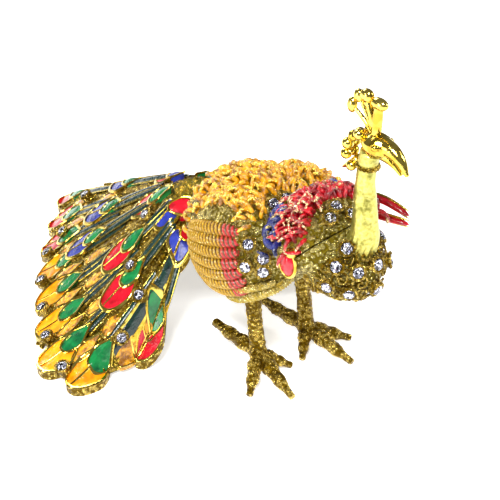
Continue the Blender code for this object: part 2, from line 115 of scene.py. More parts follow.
# Studio: the floor's side in metres and its own glow, the world's strength, and each
# light's name, place and size in metres, and power in watts
FLOOR_SIDE = 3.0
FLOOR_GLOW = 0.62
WORLD_STRENGTH = 0.22
LIGHTS = (
    ("key", (-0.35, -0.25, 0.55), (0.18, 0.18), 6.0),
    ("fill", (0.45, -0.45, 0.40), (0.20, 0.20), 2.6),
    ("back", (0.10, 0.55, 0.50), (0.40, 0.20), 3.6),
    ("side", (-0.60, 0.10, 0.15), (0.12, 0.30), 1.4),
)
LIT_POINT = (0.0, 0.0, 0.02)

shake = np.random.default_rng(7)


# Shader kit

class Value:
    """A shader socket whose arithmetic adds Math nodes."""

    def __init__(self, finish, socket):
        self.finish = finish
        self.socket = socket

    def math(self, operation, *values):
        """A Math node of these values."""
        names = dict(enumerate(values))
        return self.finish.node("ShaderNodeMath", {"operation": operation}, names)

    def __add__(self, other):
        return self.math("ADD", self, other)

    def __radd__(self, other):
        return self.math("ADD", other, self)

    def __sub__(self, other):
        return self.math("SUBTRACT", self, other)

    def __rsub__(self, other):
        return self.math("SUBTRACT", other, self)

    def __mul__(self, other):
        return self.math("MULTIPLY", self, other)

    def __rmul__(self, other):
        return self.math("MULTIPLY", other, self)

    def clamp(self, low, high):
        """0 below low, 1 above high and straight between them."""
        inputs = {"Value": self, "From Min": low, "From Max": high}
        return self.finish.node("ShaderNodeMapRange", {"clamp": True}, inputs)


# Shader sockets that aren't their key in title case
NAMES = {"ior": "IOR", "coat_ior": "Coat IOR"}


class Finish:
    """A material being made, with its Principled shader."""

    def __init__(self, name, **plain):
        self.material = bpy.data.materials.new(name)
        self.material.use_nodes = True
        self.tree = self.material.node_tree
        self.shader = self.tree.nodes["Principled BSDF"]
        for key, value in plain.items():
            self.socket(key).default_value = value
        coords = self.tree.nodes.new("ShaderNodeTexCoord")
        self.place = Value(self, coords.outputs["Object"])

    def socket(self, key):
        """The shader's socket for a key such as base_color."""
        return self.shader.inputs[NAMES.get(key, key.replace("_", " ").title())]

    def node(self, kind, settings=None, inputs=None, out=0):
        """One node: its settings first, then the values or links of its sockets."""
        made = self.tree.nodes.new(kind)
        for key, value in (settings or {}).items():
            setattr(made, key, value)
        for key, value in (inputs or {}).items():
            by_id = [s for s in made.inputs if s.identifier == key]
            socket = by_id[0] if by_id else made.inputs[key]
            if isinstance(value, Value):
                self.tree.links.new(value.socket, socket)
            else:
                socket.default_value = value
        by_id = [s for s in made.outputs if s.identifier == out]
        return Value(self, by_id[0] if by_id else made.outputs[out])

    def noise(self, size, detail=2.0, roughness=0.5):
        """Cloudy noise from 0 to 1 with blobs of a size in millimetres."""
        inputs = {"Vector": self.place, "Scale": 1.0 / (size * MM)}
        inputs.update({"Detail": detail, "Roughness": roughness})
        return self.node("ShaderNodeTexNoise", None, inputs)

    def grains(self, size):
        """Distance from the middles of cells of a size in millimetres."""
        inputs = {"Vector": self.place, "Scale": 1.0 / (size * MM)}
        return self.node("ShaderNodeTexVoronoi", {"feature": "F1"}, inputs)

    def mix(self, share, one, other):
        """A colour that goes from one to the other as share goes from 0 to 1."""
        colours = {}
        for key, colour in (("A_Color", one), ("B_Color", other)):
            colours[key] = colour if isinstance(colour, Value) else (*colour, 1.0)
        inputs = {"Factor_Float": share, **colours}
        return self.node("ShaderNodeMix", {"data_type": "RGBA"}, inputs, "Result_Color")

    def lay(self, axis):
        """A number that each piece carries: 0 along it, 1 across it, 2 a tone or depth, such as a rope
        rib's groove depth, which rope_enamel darkens as painted shade.
        """
        vector = self.node("ShaderNodeAttribute", {"attribute_name": "lay"}, None, 1)
        return self.node("ShaderNodeSeparateXYZ", None, {"Vector": vector}, axis)

    def bump(self, height, distance, strength=1.0):
        """A normal raised by height, over a distance in millimetres."""
        inputs = {"Height": height, "Distance": distance * MM, "Strength": strength}
        return self.node("ShaderNodeBump", None, inputs)

    def set(self, **sockets):
        """Link what changes over the surface to the shader."""
        for key, value in sockets.items():
            self.tree.links.new(value.socket, self.socket(key))
        return self.material


# Finishes

GOLD = (0.80, 0.62, 0.13)
PALE_GOLD = (0.95, 0.78, 0.26)
# painted shade: the near-black gold of the hollows between the grains of grained gold
GRAIN_SHADE_GOLD = (0.22, 0.11, 0.005)


def polished_gold():
    """Bright gold with slow dents and darker clouds."""
    made = Finish("polished_gold", metallic=1.0)
    cloud = made.noise(3.0)
    fine = made.noise(0.5, 3.0)
    return made.set(
        base_color=made.mix(cloud.clamp(0.40, 0.62), GOLD, (0.55, 0.36, 0.04)),
        roughness=0.08 + 0.12 * fine,
        normal=made.bump(cloud + 0.3 * fine, 0.3, 0.5),
    )


def satin_gold():
    """Pale gold in streaks with darker olive spots."""
    made = Finish("satin_gold", metallic=0.85)
    streak = made.noise(0.7, 3.0)
    spots = made.noise(2.6, 3.0, 0.6).clamp(0.50, 0.68)
    base = made.mix(streak.clamp(0.35, 0.65), (0.70, 0.64, 0.17), (0.45, 0.40, 0.08))
    return made.set(
        base_color=made.mix(spots, base, (0.20, 0.19, 0.03)),
        roughness=0.22 + 0.2 * streak,
        normal=made.bump(streak + spots, 0.12, 0.6),
    )


def granular_gold(name, size, light=GOLD, dark=GRAIN_SHADE_GOLD):
    """Gold with grains: painted highlight on their tops, and painted shade between them, where it is also
    rougher.
    """
    made = Finish(name, metallic=1.0)
    grain = made.grains(size)
    speck = made.noise(size * 0.7, 3.0, 0.7)
    patch = made.noise(size * 4, 2.0).clamp(0.40, 0.62)
    top = (1.0 - grain).clamp(0.30, 0.70) * speck.clamp(0.30, 0.58)
    return made.set(
        # painted light: the light colour on the grain tops and the dark one in the hollows between grains
        # stand in for highlight and shade; random patches darken it too
        base_color=made.mix((top - 0.35 * patch).clamp(0.0, 0.8), dark, light),
        roughness=0.38 - 0.2 * top,
        normal=made.bump(0.8 * top + 0.6 * speck, size * 0.7, 1.0),
    )


def enamel(name, colour, deep, shine=0.3):
    """Glossy glass enamel over gilt: deeper where it is thick, uneven like a poured pool."""
    made = Finish(name, ior=1.5, coat_roughness=0.03, coat_ior=1.5, coat_weight=shine)
    pool = made.noise(2.2, 2.0)
    fine = made.noise(0.45, 3.0)
    edge = made.lay(2)
    share = (pool.clamp(0.35, 0.7) * 0.8 + 0.4 * edge).clamp(0.1, 1.0)
    return made.set(
        base_color=made.mix(share, colour, deep),
        roughness=0.14 + 0.14 * fine,
        normal=made.bump(pool + 0.25 * fine, 0.6, 0.5),
    )


def gilded_enamel(name, colour, deep, gold=GOLD, worn_from=0.86):
    """Enamel in the hollows of a textured casting whose tips and edges show gold."""
    made = Finish(name, coat_roughness=0.05, coat_weight=0.5)
    speck = made.noise(0.55, 3.0, 0.6)
    along = made.lay(0)
    worn = (0.55 * along + 0.9 * speck).clamp(worn_from, worn_from + 0.12)
    tone = made.noise(1.6, 2.0).clamp(0.38, 0.62)
    return made.set(
        base_color=made.mix(worn, made.mix(tone, colour, deep), gold),
        metallic=worn * 0.9,
        roughness=0.16 + 0.2 * speck,
        normal=made.bump(speck, 0.5, 0.9),
    )


def rope_enamel(name, back_colour, front_colour, change):
    """Enamel on a twisted rib: gilt behind the change, a colour before it, and painted shade darkening the
    grooves.
    """
    made = Finish(name, coat_roughness=0.05, coat_weight=0.4)
    along = made.lay(0)
    speck = made.noise(0.40, 3.0, 0.7)
    dip = made.lay(2)
    front = (along + 0.10 * made.noise(1.2)).clamp(change, change + 0.03)
    worn = speck.clamp(0.56, 0.64) * (1.0 - 0.6 * front)
    colour = made.mix(front, back_colour, front_colour)
    # painted shade: the twisted rib's grooves, from the piece's depth number, darkened towards near-black,
    # unevenly with the specks
    groove_shade = (dip + 0.5 * speck).clamp(0.55, 1.05)
    lit = made.mix(worn, colour, PALE_GOLD)
    return made.set(
        base_color=made.mix(groove_shade, lit, (0.10, 0.035, 0.004)),
        metallic=0.8 - 0.7 * front,
        roughness=0.22 + 0.2 * speck,
        normal=made.bump(speck, 0.4, 0.9),
    )


def clear_stone():
    """Clear glass with a faint violet haze."""
    made = Finish("clear_stone", roughness=0.0, ior=1.6, transmission_weight=1.0)
    haze = made.noise(0.9, 2.0)
    return made.set(base_color=made.mix(haze.clamp(0.3, 0.7), (0.97, 0.97, 1.0), (0.82, 0.81, 0.90)))


def foil():
    """Crumpled silver behind a stone, with the light and dark reflections of its crumples painted into its
    colour.
    """
    made = Finish("silver_foil", metallic=1.0)
    fine = made.noise(0.7, 1.0)
    return made.set(
        # painted reflection: the crumples' bright and near-black reflections put into the silver's colour
        base_color=made.mix(fine.clamp(0.44, 0.56), (0.92, 0.92, 0.97), (0.10, 0.10, 0.14)),
        roughness=0.10 + 0.1 * fine,
        normal=made.bump(fine, 0.5, 1.0),
    )


polished = polished_gold()
satin = satin_gold()
# the two colours of each grained gold are its painted highlight on the grain tops and its painted shade
# between the grains
granular = granular_gold("granular_gold", 0.8, (1.0, 0.88, 0.34), (0.14, 0.10, 0.006))
coarse = granular_gold("coarse_gold", 0.9, (0.95, 0.70, 0.16), (0.14, 0.08, 0.004))
bright = granular_gold("bright_gold", 0.7, (1.0, 0.88, 0.40), (0.45, 0.32, 0.05))
plate_gold = granular_gold("plate_gold", 1.0, (0.78, 0.52, 0.07), (0.12, 0.09, 0.006))
red = enamel("red_enamel", (0.60, 0.003, 0.016), (0.20, 0.0, 0.005))
green = enamel("green_enamel", (0.004, 0.20, 0.045), (0.0, 0.045, 0.016))
blue = enamel("blue_enamel", (0.02, 0.035, 0.30), (0.006, 0.008, 0.09))
amber = enamel("amber_enamel", (1.0, 0.42, 0.004), (0.75, 0.16, 0.0))
dark = enamel("dark_enamel", (0.006, 0.030, 0.022), (0.001, 0.005, 0.005))
navy = gilded_enamel("navy_enamel", (0.01, 0.02, 0.20), (0.0, 0.004, 0.05), GOLD, 0.95)
curly_amber = gilded_enamel("curly_amber", (0.90, 0.40, 0.004), (0.25, 0.09, 0.0), (1.0, 0.78, 0.12), 0.80)
curly_red = gilded_enamel("curly_red", (0.62, 0.003, 0.012), (0.18, 0.0, 0.004), (1.0, 0.78, 0.40), 0.86)
rope_red = rope_enamel("wing_rib_enamel", (0.50, 0.28, 0.012), (0.50, 0.001, 0.008), 0.84)
glass = clear_stone()
silver = foil()


# Surfaces on grids

def world(places):
    """(left, MIDDLE - forward, up) in metres, from (forward, left, up) in millimetres."""
    moved = np.stack([places[..., 1], MIDDLE - places[..., 0], places[..., 2]], -1)
    return moved * MM


def unit(vectors):
    """Each vector divided by its length."""
    return vectors / np.maximum(np.linalg.norm(vectors, axis=-1, keepdims=True), 1e-9)


def ramp(low, high, value):
    """0 below low, 1 above high, and an S curve between them."""
    t = np.clip((value - low) / (high - low), 0.0, 1.0)
    return t * t * (3 - 2 * t)


def turn(count, start=0.0):
    """Evenly spaced angles of a whole turn."""
    return start + np.arange(count) * 2 * np.pi / count


class Piece:
    """Grids of points gathered into one mesh object."""

    def __init__(self, name, *finishes):
        self.name = name
        self.finishes = finishes
        self.points, self.lays = [], []
        self.faces, self.slots = {3: [], 4: []}, {3: [], 4: []}
        self.count = 0

    def _keep(self, faces, slot):
        """Store faces of one size with their material's index."""
        size = faces.shape[-1]
        faces = faces.reshape(-1, size)
        self.faces[size].append(faces + self.count)
        self.slots[size].append(np.full(len(faces), slot))

    def add(self, points, slot=0, loop=False, shade=0.0):
        """A closed form: rows of closed rings with a pole at each end, or a closed loop of rings.

        points is (..., rows, columns, 3), and each leading index is one copy. A pole is
        the mean of its end ring. shade is a number or an array over the copies or points.
        """
        points = np.asarray(points, float)
        rows, columns = points.shape[-3:-1]
        flat = points.reshape(-1, rows, columns, 3)
        copies = len(flat)
        along = np.broadcast_to(np.linspace(0, 1, rows)[:, None], (rows, columns))
        across = np.broadcast_to(np.arange(columns) / columns, (rows, columns))
        lay = np.empty((copies, rows, columns, 3))
        lay[..., 0], lay[..., 1] = along, across
        shade = np.asarray(shade, float)
        if shade.ndim and shade.shape == points.shape[:-3]:
            shade = shade.reshape(-1, 1, 1)
        elif shade.ndim:
            shade = np.broadcast_to(shade, points.shape[:-1]).reshape(copies, rows, columns)
        lay[..., 2] = shade
        step = rows if loop else rows - 1
        i = np.arange(step)[:, None]
        j = np.arange(columns)[None, :]
        down, right = (i + 1) % rows, (j + 1) % columns
        near, far = i * columns, down * columns
        quads = np.stack([near + j, near + right, far + right, far + j], -1).reshape(-1, 4)
        size = rows * columns
        body = flat.reshape(copies, size, 3)
        marks = lay.reshape(copies, size, 3)
        if not loop:
            ends = np.stack([flat[:, 0].mean(1), flat[:, -1].mean(1)], 1)
            tails = np.stack([lay[:, 0].mean(1), lay[:, -1].mean(1)], 1)
            body = np.concatenate([body, ends], 1)
            marks = np.concatenate([marks, tails], 1)
            ring = np.arange(columns)
            after = (ring + 1) % columns
            first = np.stack([after, ring, np.full(columns, size)], -1)
            base = (rows - 1) * columns
            last = np.stack([base + ring, base + after, np.full(columns, size + 1)], -1)
            fans = np.concatenate([first, last])
            stride = size + 2
            self._keep(fans[None] + (np.arange(copies) * stride)[:, None, None], slot)
        else:
            stride = size
        self._keep(quads[None] + (np.arange(copies) * stride)[:, None, None], slot)
        self.points.append(body.reshape(-1, 3))
        self.lays.append(marks.reshape(-1, 3))
        self.count += copies * stride
        return self

    def make(self, smooth=True, replaces=(), slot=None, sharp=None):
        """The mesh object, riding on the one body of the frame."""
        mesh = bpy.data.meshes.new(self.name)
        places = world(np.concatenate(self.points))
        mesh.vertices.add(len(places))
        mesh.vertices.foreach_set("co", places.ravel())
        corners, starts, slots, at = [], [], [], 0
        for size in (3, 4):
            if self.faces[size]:
                faces = np.concatenate(self.faces[size])
                corners.append(faces.ravel())
                starts.append(at + np.arange(len(faces)) * size)
                slots.append(np.concatenate(self.slots[size]))
                at += faces.size
        corners, starts = np.concatenate(corners), np.concatenate(starts)
        mesh.loops.add(len(corners))
        mesh.loops.foreach_set("vertex_index", corners.astype(np.int32))
        mesh.polygons.add(len(starts))
        mesh.polygons.foreach_set("loop_start", starts.astype(np.int32))
        mesh.polygons.foreach_set("material_index", np.concatenate(slots).astype(np.int32))
        mesh.update(calc_edges=True)
        lay = mesh.attributes.new("lay", "FLOAT_VECTOR", "POINT")
        lay.data.foreach_set("vector", np.concatenate(self.lays).ravel())
        for finish in self.finishes:
            mesh.materials.append(finish)
        bm = bmesh.new()
        bm.from_mesh(mesh)
        bmesh.ops.recalc_face_normals(bm, faces=bm.faces)
        bm.to_mesh(mesh)
        bm.free()
        if smooth:
            mesh.shade_smooth()
            if sharp:
                mesh.set_sharp_from_angle(angle=math.radians(sharp))
        made = bpy.data.objects.new(self.name, mesh)
        bpy.context.scene.collection.objects.link(made)
        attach(made, "root")
        if replaces:
            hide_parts(*replaces)
        return made


def sweep(path, radius, sides=12, up=(0.0, 0.0, 1.0), flat=1.0, loop=False):
    """Rings round a path: path + radius * (cos a * side + flat * sin a * over).

    side is square to the path and to up, and over is square to both. radius is a
    number or an array that goes with the path's points, or with the rings' too.
    """
    path = np.asarray(path, float)
    if loop:
        ahead = np.roll(path, -1, -2) - np.roll(path, 1, -2)
    else:
        ahead = np.gradient(path, axis=-2)
    ahead = unit(ahead)
    side = unit(np.cross(ahead, np.broadcast_to(np.asarray(up, float), path.shape)))
    over = np.cross(side, ahead)
    a = turn(sides)
    ring = np.cos(a)[:, None] * side[..., None, :] + flat * np.sin(a)[:, None] * over[..., None, :]
    radius = np.asarray(radius, float)
    if radius.ndim < path.ndim:
        radius = np.broadcast_to(radius, path.shape[:-1])[..., None]
    return path[..., None, :] + radius[..., None] * ring


def curve(stations, count=24):
    """count points in equal steps on the cubic curve that passes through all stations."""
    stations = np.asarray(stations, float)
    before, after = 2 * stations[:1] - stations[1:2], 2 * stations[-1:] - stations[-2:-1]
    padded = np.concatenate([before, stations, after])
    t = np.linspace(0, len(stations) - 1, count)
    k = np.minimum(t.astype(int), len(stations) - 2)
    u = (t - k)[:, None]
    a, b, c, d = (padded[k + step] for step in range(4))
    return 0.5 * (2 * b + (c - a) * u + (2 * a - 5 * b + 4 * c - d) * u**2 + (3 * b - a - 3 * c + d) * u**3)


def egg(form, rows=24, columns=32):
    """An egg: centre + half sizes * (cos b cos a, cos b sin a, sin b)."""
    centre, radii = np.array(form[0]), np.array(form[1])
    b = np.linspace(-np.pi / 2, np.pi / 2, rows + 2)[1:-1, None]
    a = turn(columns)[None]
    way = np.stack([np.cos(b) * np.cos(a), np.cos(b) * np.sin(a), np.sin(b) + 0 * a], -1)
    return centre + radii * way


def ripple(places, size, seed=3, waves=14):
    """Lumpy noise from about -1 to 1: a mean of sines along random directions."""
    source = np.random.default_rng(seed)
    ways = unit(source.normal(size=(waves, 3))) * 2 * np.pi / (size * source.uniform(0.7, 1.5, (waves, 1)))
    phases = source.uniform(0, 2 * np.pi, waves)
    return np.sin(places @ ways.T + phases).mean(-1) * 2.2


def spread(count, seed=0.5):
    """count directions spread evenly over a ball: steps of the golden angle from pole to pole."""
    k = np.arange(count) + 0.5
    up = 1 - 2 * k / count
    around = k * np.pi * (3 - 5**0.5) + seed
    out = np.sqrt(1 - up * up)
    return np.stack([out * np.cos(around), out * np.sin(around), up], -1)


NEAREST_BATCH = 4000


def nearest(ways, seeds):
    """Angle between each direction and the nearest seed direction."""
    flat = ways.reshape(-1, 3)
    parts = np.array_split(flat, 1 + len(flat) // NEAREST_BATCH)
    best = np.concatenate([(part @ seeds.T).max(1) for part in parts])
    return np.arccos(np.clip(best, -1, 1)).reshape(ways.shape[:-1])


# Body, seam and wings as surfaces

def pitched(vectors, pitch):
    """(forward, left, up) turned into the frame of a form pitched nose up."""
    c, s = math.cos(pitch), math.sin(pitch)
    forward, left, up = vectors[..., 0], vectors[..., 1], vectors[..., 2]
    return np.stack([forward * c + up * s, left, up * c - forward * s], -1)


def exit_distance(form, pitch, ways):
    """How far out a ray from the heart of the body leaves an egg shape, and 0 where it misses."""
    centre, radii = np.array(form[0]), np.array(form[1])
    start = pitched(np.array(HEART) - centre, pitch) / radii
    way = pitched(ways, pitch) / radii
    a = (way * way).sum(-1)
    b = (way * start).sum(-1)
    c = (start * start).sum() - 1
    inside = b * b - a * c
    return np.where(inside > 0, np.maximum((np.sqrt(np.abs(inside)) - b) / a, 0.0), 0.0)


def directions(around, above):
    """(cos b cos a, cos b sin a, sin b) for angles a round the upright and b above level."""
    level = np.cos(above)
    return np.stack([level * np.cos(around), level * np.sin(around), np.sin(above)], -1)


def skin(ways, depth=0.0):
    """The body's surface along rays from its heart: the furthest of its three eggs.

    The joins are eased by a high root of the summed powers of the three distances.
    """
    eggs = ((BODY, BODY_PITCH), (BREAST, 0.0), (NAPE, 0.0))
    far = np.stack([exit_distance(form, pitch, ways) for form, pitch in eggs])
    reach = (far**18).sum(0) ** (1 / 18) * 0.985
    return np.array(HEART) + ways * (np.minimum(reach, far.max(0) + 0.3) - depth)[..., None]


def above_seam(places):
    """How far places are above the seam between lid and body, along forward and up."""
    forward, up = places[..., 0], places[..., 2]
    best = np.full(forward.shape, 1e9)
    sign = np.ones(forward.shape)
    for (f0, u0), (f1, u1) in zip(SEAM, SEAM[1:]):
        run, rise = f1 - f0, u1 - u0
        length = math.hypot(run, rise)
        t = np.clip(((forward - f0) * run + (up - u0) * rise) / length**2, 0, 1)
        near_f, near_u = forward - f0 - t * run, up - u0 - t * rise
        gap = np.hypot(near_f, near_u)
        cross = (run * near_u - rise * near_f) / length
        sign = np.where(gap < best - 1e-6, np.where(cross < 0, 1.0, -1.0), sign)
        best = np.minimum(best, gap)
    return sign * best


def shell_rows(lid, rows, columns, gap):
    """Directions from a pole to the seam along each meridian, found by halving."""
    around = turn(columns)
    pole = np.pi / 2 if lid else -np.pi / 2
    inside = np.full(columns, pole * 0.999)
    outside = -inside
    want = 1.0 if lid else -1.0
    for _ in range(40):
        middle = (inside + outside) / 2
        within = above_seam(skin(directions(around, middle))) * want > gap / 2
        inside = np.where(within, middle, inside)
        outside = np.where(within, outside, middle)
    share = np.linspace(0.02, 1, rows)[:, None]
    above = pole + (inside - pole) * share
    return directions(around, above)


def on_ball(form, around, above):
    """Places and outward normals on an egg by angles in degrees round it and above level."""
    centre, radii = np.array(form[0]), np.array(form[1])
    way = directions(np.radians(around), np.radians(above))
    return centre + radii * way, unit(way / radii)


def on_wing(forward, above, side, lift=0.0):
    """Places and outward normals on a wing, by place along it and angle above level in degrees.

    With x from -1 to 1 along the wing, its ring has the radius sqrt(1 - x * x), and
    the whole is pitched nose up.
    """
    (ahead, out, up), radii = WING
    c, s = math.cos(WING_PITCH), math.sin(WING_PITCH)
    x = (np.asarray(forward, float) - ahead) / c / radii[0]
    ring = np.sqrt(np.clip(1 - x * x, 0, None))
    above = np.radians(above)
    y, z = ring * np.cos(above), ring * np.sin(above)
    x = x + 0 * y
    place = np.stack([
        ahead + radii[0] * x * c - radii[2] * z * s,
        side * (out + radii[1] * y),
        up + radii[0] * x * s + radii[2] * z * c,
    ], -1)
    nx, ny, nz = x / radii[0], y / radii[1], z / radii[2]
    normal = unit(np.stack([nx * c - nz * s, side * ny, nx * s + nz * c], -1))
    return place + normal * lift, normal


def on_egg(form, forward, left, side=1.0, pitch=0.0):
    """Height and normal of an egg's upper surface, with nan beside it: a quadratic for the height."""
    centre, (long, wide, tall) = form
    c, s = math.cos(pitch), math.sin(pitch)
    ahead, out = forward - centre[0], left - side * centre[1]
    square = (s / long) ** 2 + (c / tall) ** 2
    linear = 2 * ahead * s * c * (1 / long**2 - 1 / tall**2)
    fixed = ahead**2 * ((c / long) ** 2 + (s / tall) ** 2) + (out / wide) ** 2 - 1
    inside = linear**2 - 4 * square * fixed
    rise = (np.sqrt(np.where(inside > 0, inside, np.nan)) - linear) / (2 * square)
    x = (ahead * c + rise * s) / long**2
    z = (rise * c - ahead * s) / tall**2
    normal = unit(np.stack([x * c - z * s, out / wide**2 + 0 * x, x * s + z * c], -1))
    return centre[2] + rise, normal


def on_back(forward, left):
    """Places and normals of the highest body surface above points."""
    forward, left = np.broadcast_arrays(np.asarray(forward, float), np.asarray(left, float))
    found = [on_egg(BODY, forward, left, 1.0, BODY_PITCH), on_egg(NAPE, forward, left)]
    found += [on_egg(WING, forward, left, side, WING_PITCH) for side in (-1.0, 1.0)]
    heights = np.nan_to_num(np.stack([height for height, _ in found]), nan=-1e3)
    best = heights.argmax(0)
    normals = np.stack([normal for _, normal in found])
    height = np.take_along_axis(heights, best[None], 0)[0]
    normal = np.take_along_axis(normals, best[None, ..., None], 0)[0]
    return np.stack([forward, left, height], -1), normal


# Tail as a surface

def tail_tips():
    """(back, side) of the outer feathers' tips on one side.

    They are on a straight edge bulged by a parabola, and then the tail's front.
    """
    t = np.linspace(0, 1, TAIL_STEPS + 1)[:, None]
    start, end = np.array([TAIL_LENGTH, 0.0]), np.array(TAIL_SIDE)
    across = unit(np.array([TAIL_SIDE[1], TAIL_LENGTH - TAIL_SIDE[0]]))
    tips = start + (end - start) * t + across * TAIL_BULGE * 4 * t * (1 - t)
    return np.concatenate([tips, np.array(TAIL_FRONT)])


TIPS = tail_tips()
TIP_ANGLES = np.arctan2(TIPS[:, 1], TIPS[:, 0])


def rim_radius(angle):
    """How far from the root the rim is at an angle."""
    return np.interp(np.abs(angle), TIP_ANGLES, np.linalg.norm(TIPS, axis=1))


def shift(pair, angle, power=1.0):
    """From pair's first value in the tail's middle to its second at the edge."""
    return pair[0] + (pair[1] - pair[0]) * np.minimum(np.abs(angle) / TAIL_EDGE, 1.0) ** power


def tail_at(back, side, lift=0.0):
    """Places on the tail's skirt, from (back, side) of its root and a lift above it.

    Its height falls from the root's to the rim's as (1 - share) to a power, where
    share is how far out a point is.
    """
    angle, radius = np.arctan2(side, back), np.hypot(back, side)
    root = shift(ROOT_RADIUS, angle)
    top = shift(ROOT_HEIGHT, angle, 1.5)
    share = (radius - root) / (rim_radius(angle) - root)
    height = RIM_HEIGHT + (top - RIM_HEIGHT) * np.clip(1 - share, 0, 1) ** shift(HOLLOWING, angle)
    seen = angle - TAIL_TURN
    place = np.stack([TAIL_ROOT - radius * np.cos(seen), -radius * np.sin(seen), height + lift], -1)
    place[..., 2] = np.maximum(place[..., 2], 0.0)
    return place


def tail_point(angle, share):
    """(back, side) at an angle from the middle, in degrees, and a share of the way out to the rim."""
    angle = math.radians(angle)
    root = shift(ROOT_RADIUS, angle)
    radius = root + (rim_radius(angle) - root) * share
    return np.array([radius * math.cos(angle), radius * math.sin(angle)])


def drop_outline(foot, tip, width, count, inset=0.0):
    """(back, side) points round a drop from foot to tip, widest past its middle.

    At angle a, it is (1 - cos a) / 2 of the way along, and a power of sin a of the
    half width out, less near the foot.
    """
    a = turn(count)
    along = tip - foot
    length = np.linalg.norm(along)
    along = along / length
    across = np.array([-along[1], along[0]])
    t = (1 - np.cos(a)) / 2
    bow = np.sign(np.sin(a)) * np.abs(np.sin(a)) ** 0.8
    half = (width / 2 - inset) * bow * (0.30 + 0.70 * ramp(0.0, 0.55, t))
    run = inset + (length - 2 * inset) * t
    return foot + run[:, None] * along + half[:, None] * across


def on_tail(flat, lift):
    """Places on the tail's skirt from (back, side) points and a lift."""
    return tail_at(flat[..., 0], flat[..., 1], lift)


def leaf_solid(foot, tip, width, top, bottom, count=40, dome=0.0, inset=0.0):
    """A closed leaf: its outline drawn in to its middle on both faces, the upper one domed."""
    edge = drop_outline(foot, tip, width, count, inset)
    middle = foot + (tip - foot) * 0.62
    shares = np.array([0.06, 0.4, 0.7, 0.9, 1.0])
    upper = middle + (edge - middle) * shares[:, None, None]
    lifts = top + dome * (1 - shares**2)
    over = on_tail(upper, lifts[:, None])
    under = on_tail(upper[::-1], np.full((5, 1), -bottom))
    return np.concatenate([over, under])


def leaf_rim(foot, tip, width, lift, radius, count=56, inset=0.0):
    """A round gold wire along a drop's outline."""
    edge = drop_outline(foot, tip, width, count, inset)
    a = turn(6)
    ahead = unit(np.roll(edge, -1, 0) - np.roll(edge, 1, 0))
    out = np.stack([ahead[:, 1], -ahead[:, 0]], -1)
    flat = edge[:, None] + radius * np.cos(a)[None, :, None] * out[:, None]
    return on_tail(flat, lift + radius * np.sin(a))


def strip(start, end, half, lift, radius, count=14):
    """A rod on the tail from start to end, offset half to one side and flattened."""
    t = np.linspace(0, 1, count)[:, None]
    along = unit(end - start)
    across = np.array([-along[1], along[0]])
    offset = half * (1 - 0.35 * t)
    flat = start + (end - start) * t + across * offset
    a = turn(8)
    wide = radius * (0.55 + 0.45 * np.sin(np.pi * np.clip(t, 0.08, 0.92)))
    ring = flat[:, None] + wide[..., None] * np.cos(a)[None, :, None] * across
    return on_tail(ring, lift + 0.75 * wide * np.sin(a))


# Feathers: angle and share of the tip, length, width and the colours of both drops
MIDDLE_ROW = (
    (0, 0.56, 13.5, 7.6, "blue", "green"),
    (14, 0.68, 14.5, 8.0, "blue", "green"),
    (30, 0.78, 14.5, 8.0, "blue", "green"),
    (57, 0.49, 15.0, 8.8, "red", "green"),
    (80, 0.53, 15.0, 8.4, "red", "green"),
)
INNER_ROW = (
    (0, 0.22, 10.5, 6.4, "red", "blue"),
    (27, 0.30, 13.0, 8.2, "red", "green"),
    (62, 0.11, 11.5, 7.2, "blue", "red"),
    (98, 0.12, 12.0, 7.2, "blue", "red"),
)
OUTER_COLOURS = ("red", "red", "red", "amber", "amber", "amber", "amber", "amber", "red")
OUTER_WIDTHS = (8.8, 9.2, 10.0, 10.4, 10.4, 10.2, 9.6, 8.0, 7.8)
COLOURS = {"red": 1, "green": 2, "blue": 3, "amber": 4, "dark": 5, "leaf": 6, "plate": 7}


# Measures of the feathers: the outer drops' length, lifts over the skirt, wires' radii,
# and the dark stems, with how near the root they may come
OUTER_LENGTH = 14.0
OUTER_LIFT = 0.4
INNER_LIFT = 1.3
INNER_DEPTH = 0.7
EDGE_WIRE = 0.38
MIDRIB = 0.26
DROP_WIRE = 0.30
STEM = 0.72
STEM_LENGTH = 17.0
ROOT_CLEAR = 11.5
PULL_STEP = 3.0


def pull(spot):
    """Millimetres seen from above in a millimetre of the skirt, inwards from a point."""
    inner = spot - unit(spot) * PULL_STEP
    return PULL_STEP / np.linalg.norm(on_tail(spot, 0.0) - on_tail(inner, 0.0))


def all_feathers(side):
    """Foot, tip, width, lift, both colours and depth of each feather on one side."""
    made = []
    for index, tip in enumerate(TIPS):
        if index == 0 and side < 0:
            continue
        tip = tip * (1, side)
        foot = tip - unit(tip) * OUTER_LENGTH * pull(tip)
        look = (OUTER_COLOURS[index], "green")
        made.append((foot, tip, OUTER_WIDTHS[index], OUTER_LIFT, *look, RIM_HEIGHT))
    for angle, share, length, width, outer, inner in MIDDLE_ROW + INNER_ROW:
        if angle == 0 and side < 0:
            continue
        tip = tail_point(angle * side, share)
        foot = tip - unit(tip) * length * pull(tip)
        made.append((foot, tip, width, INNER_LIFT, outer, inner, INNER_DEPTH))
    return made


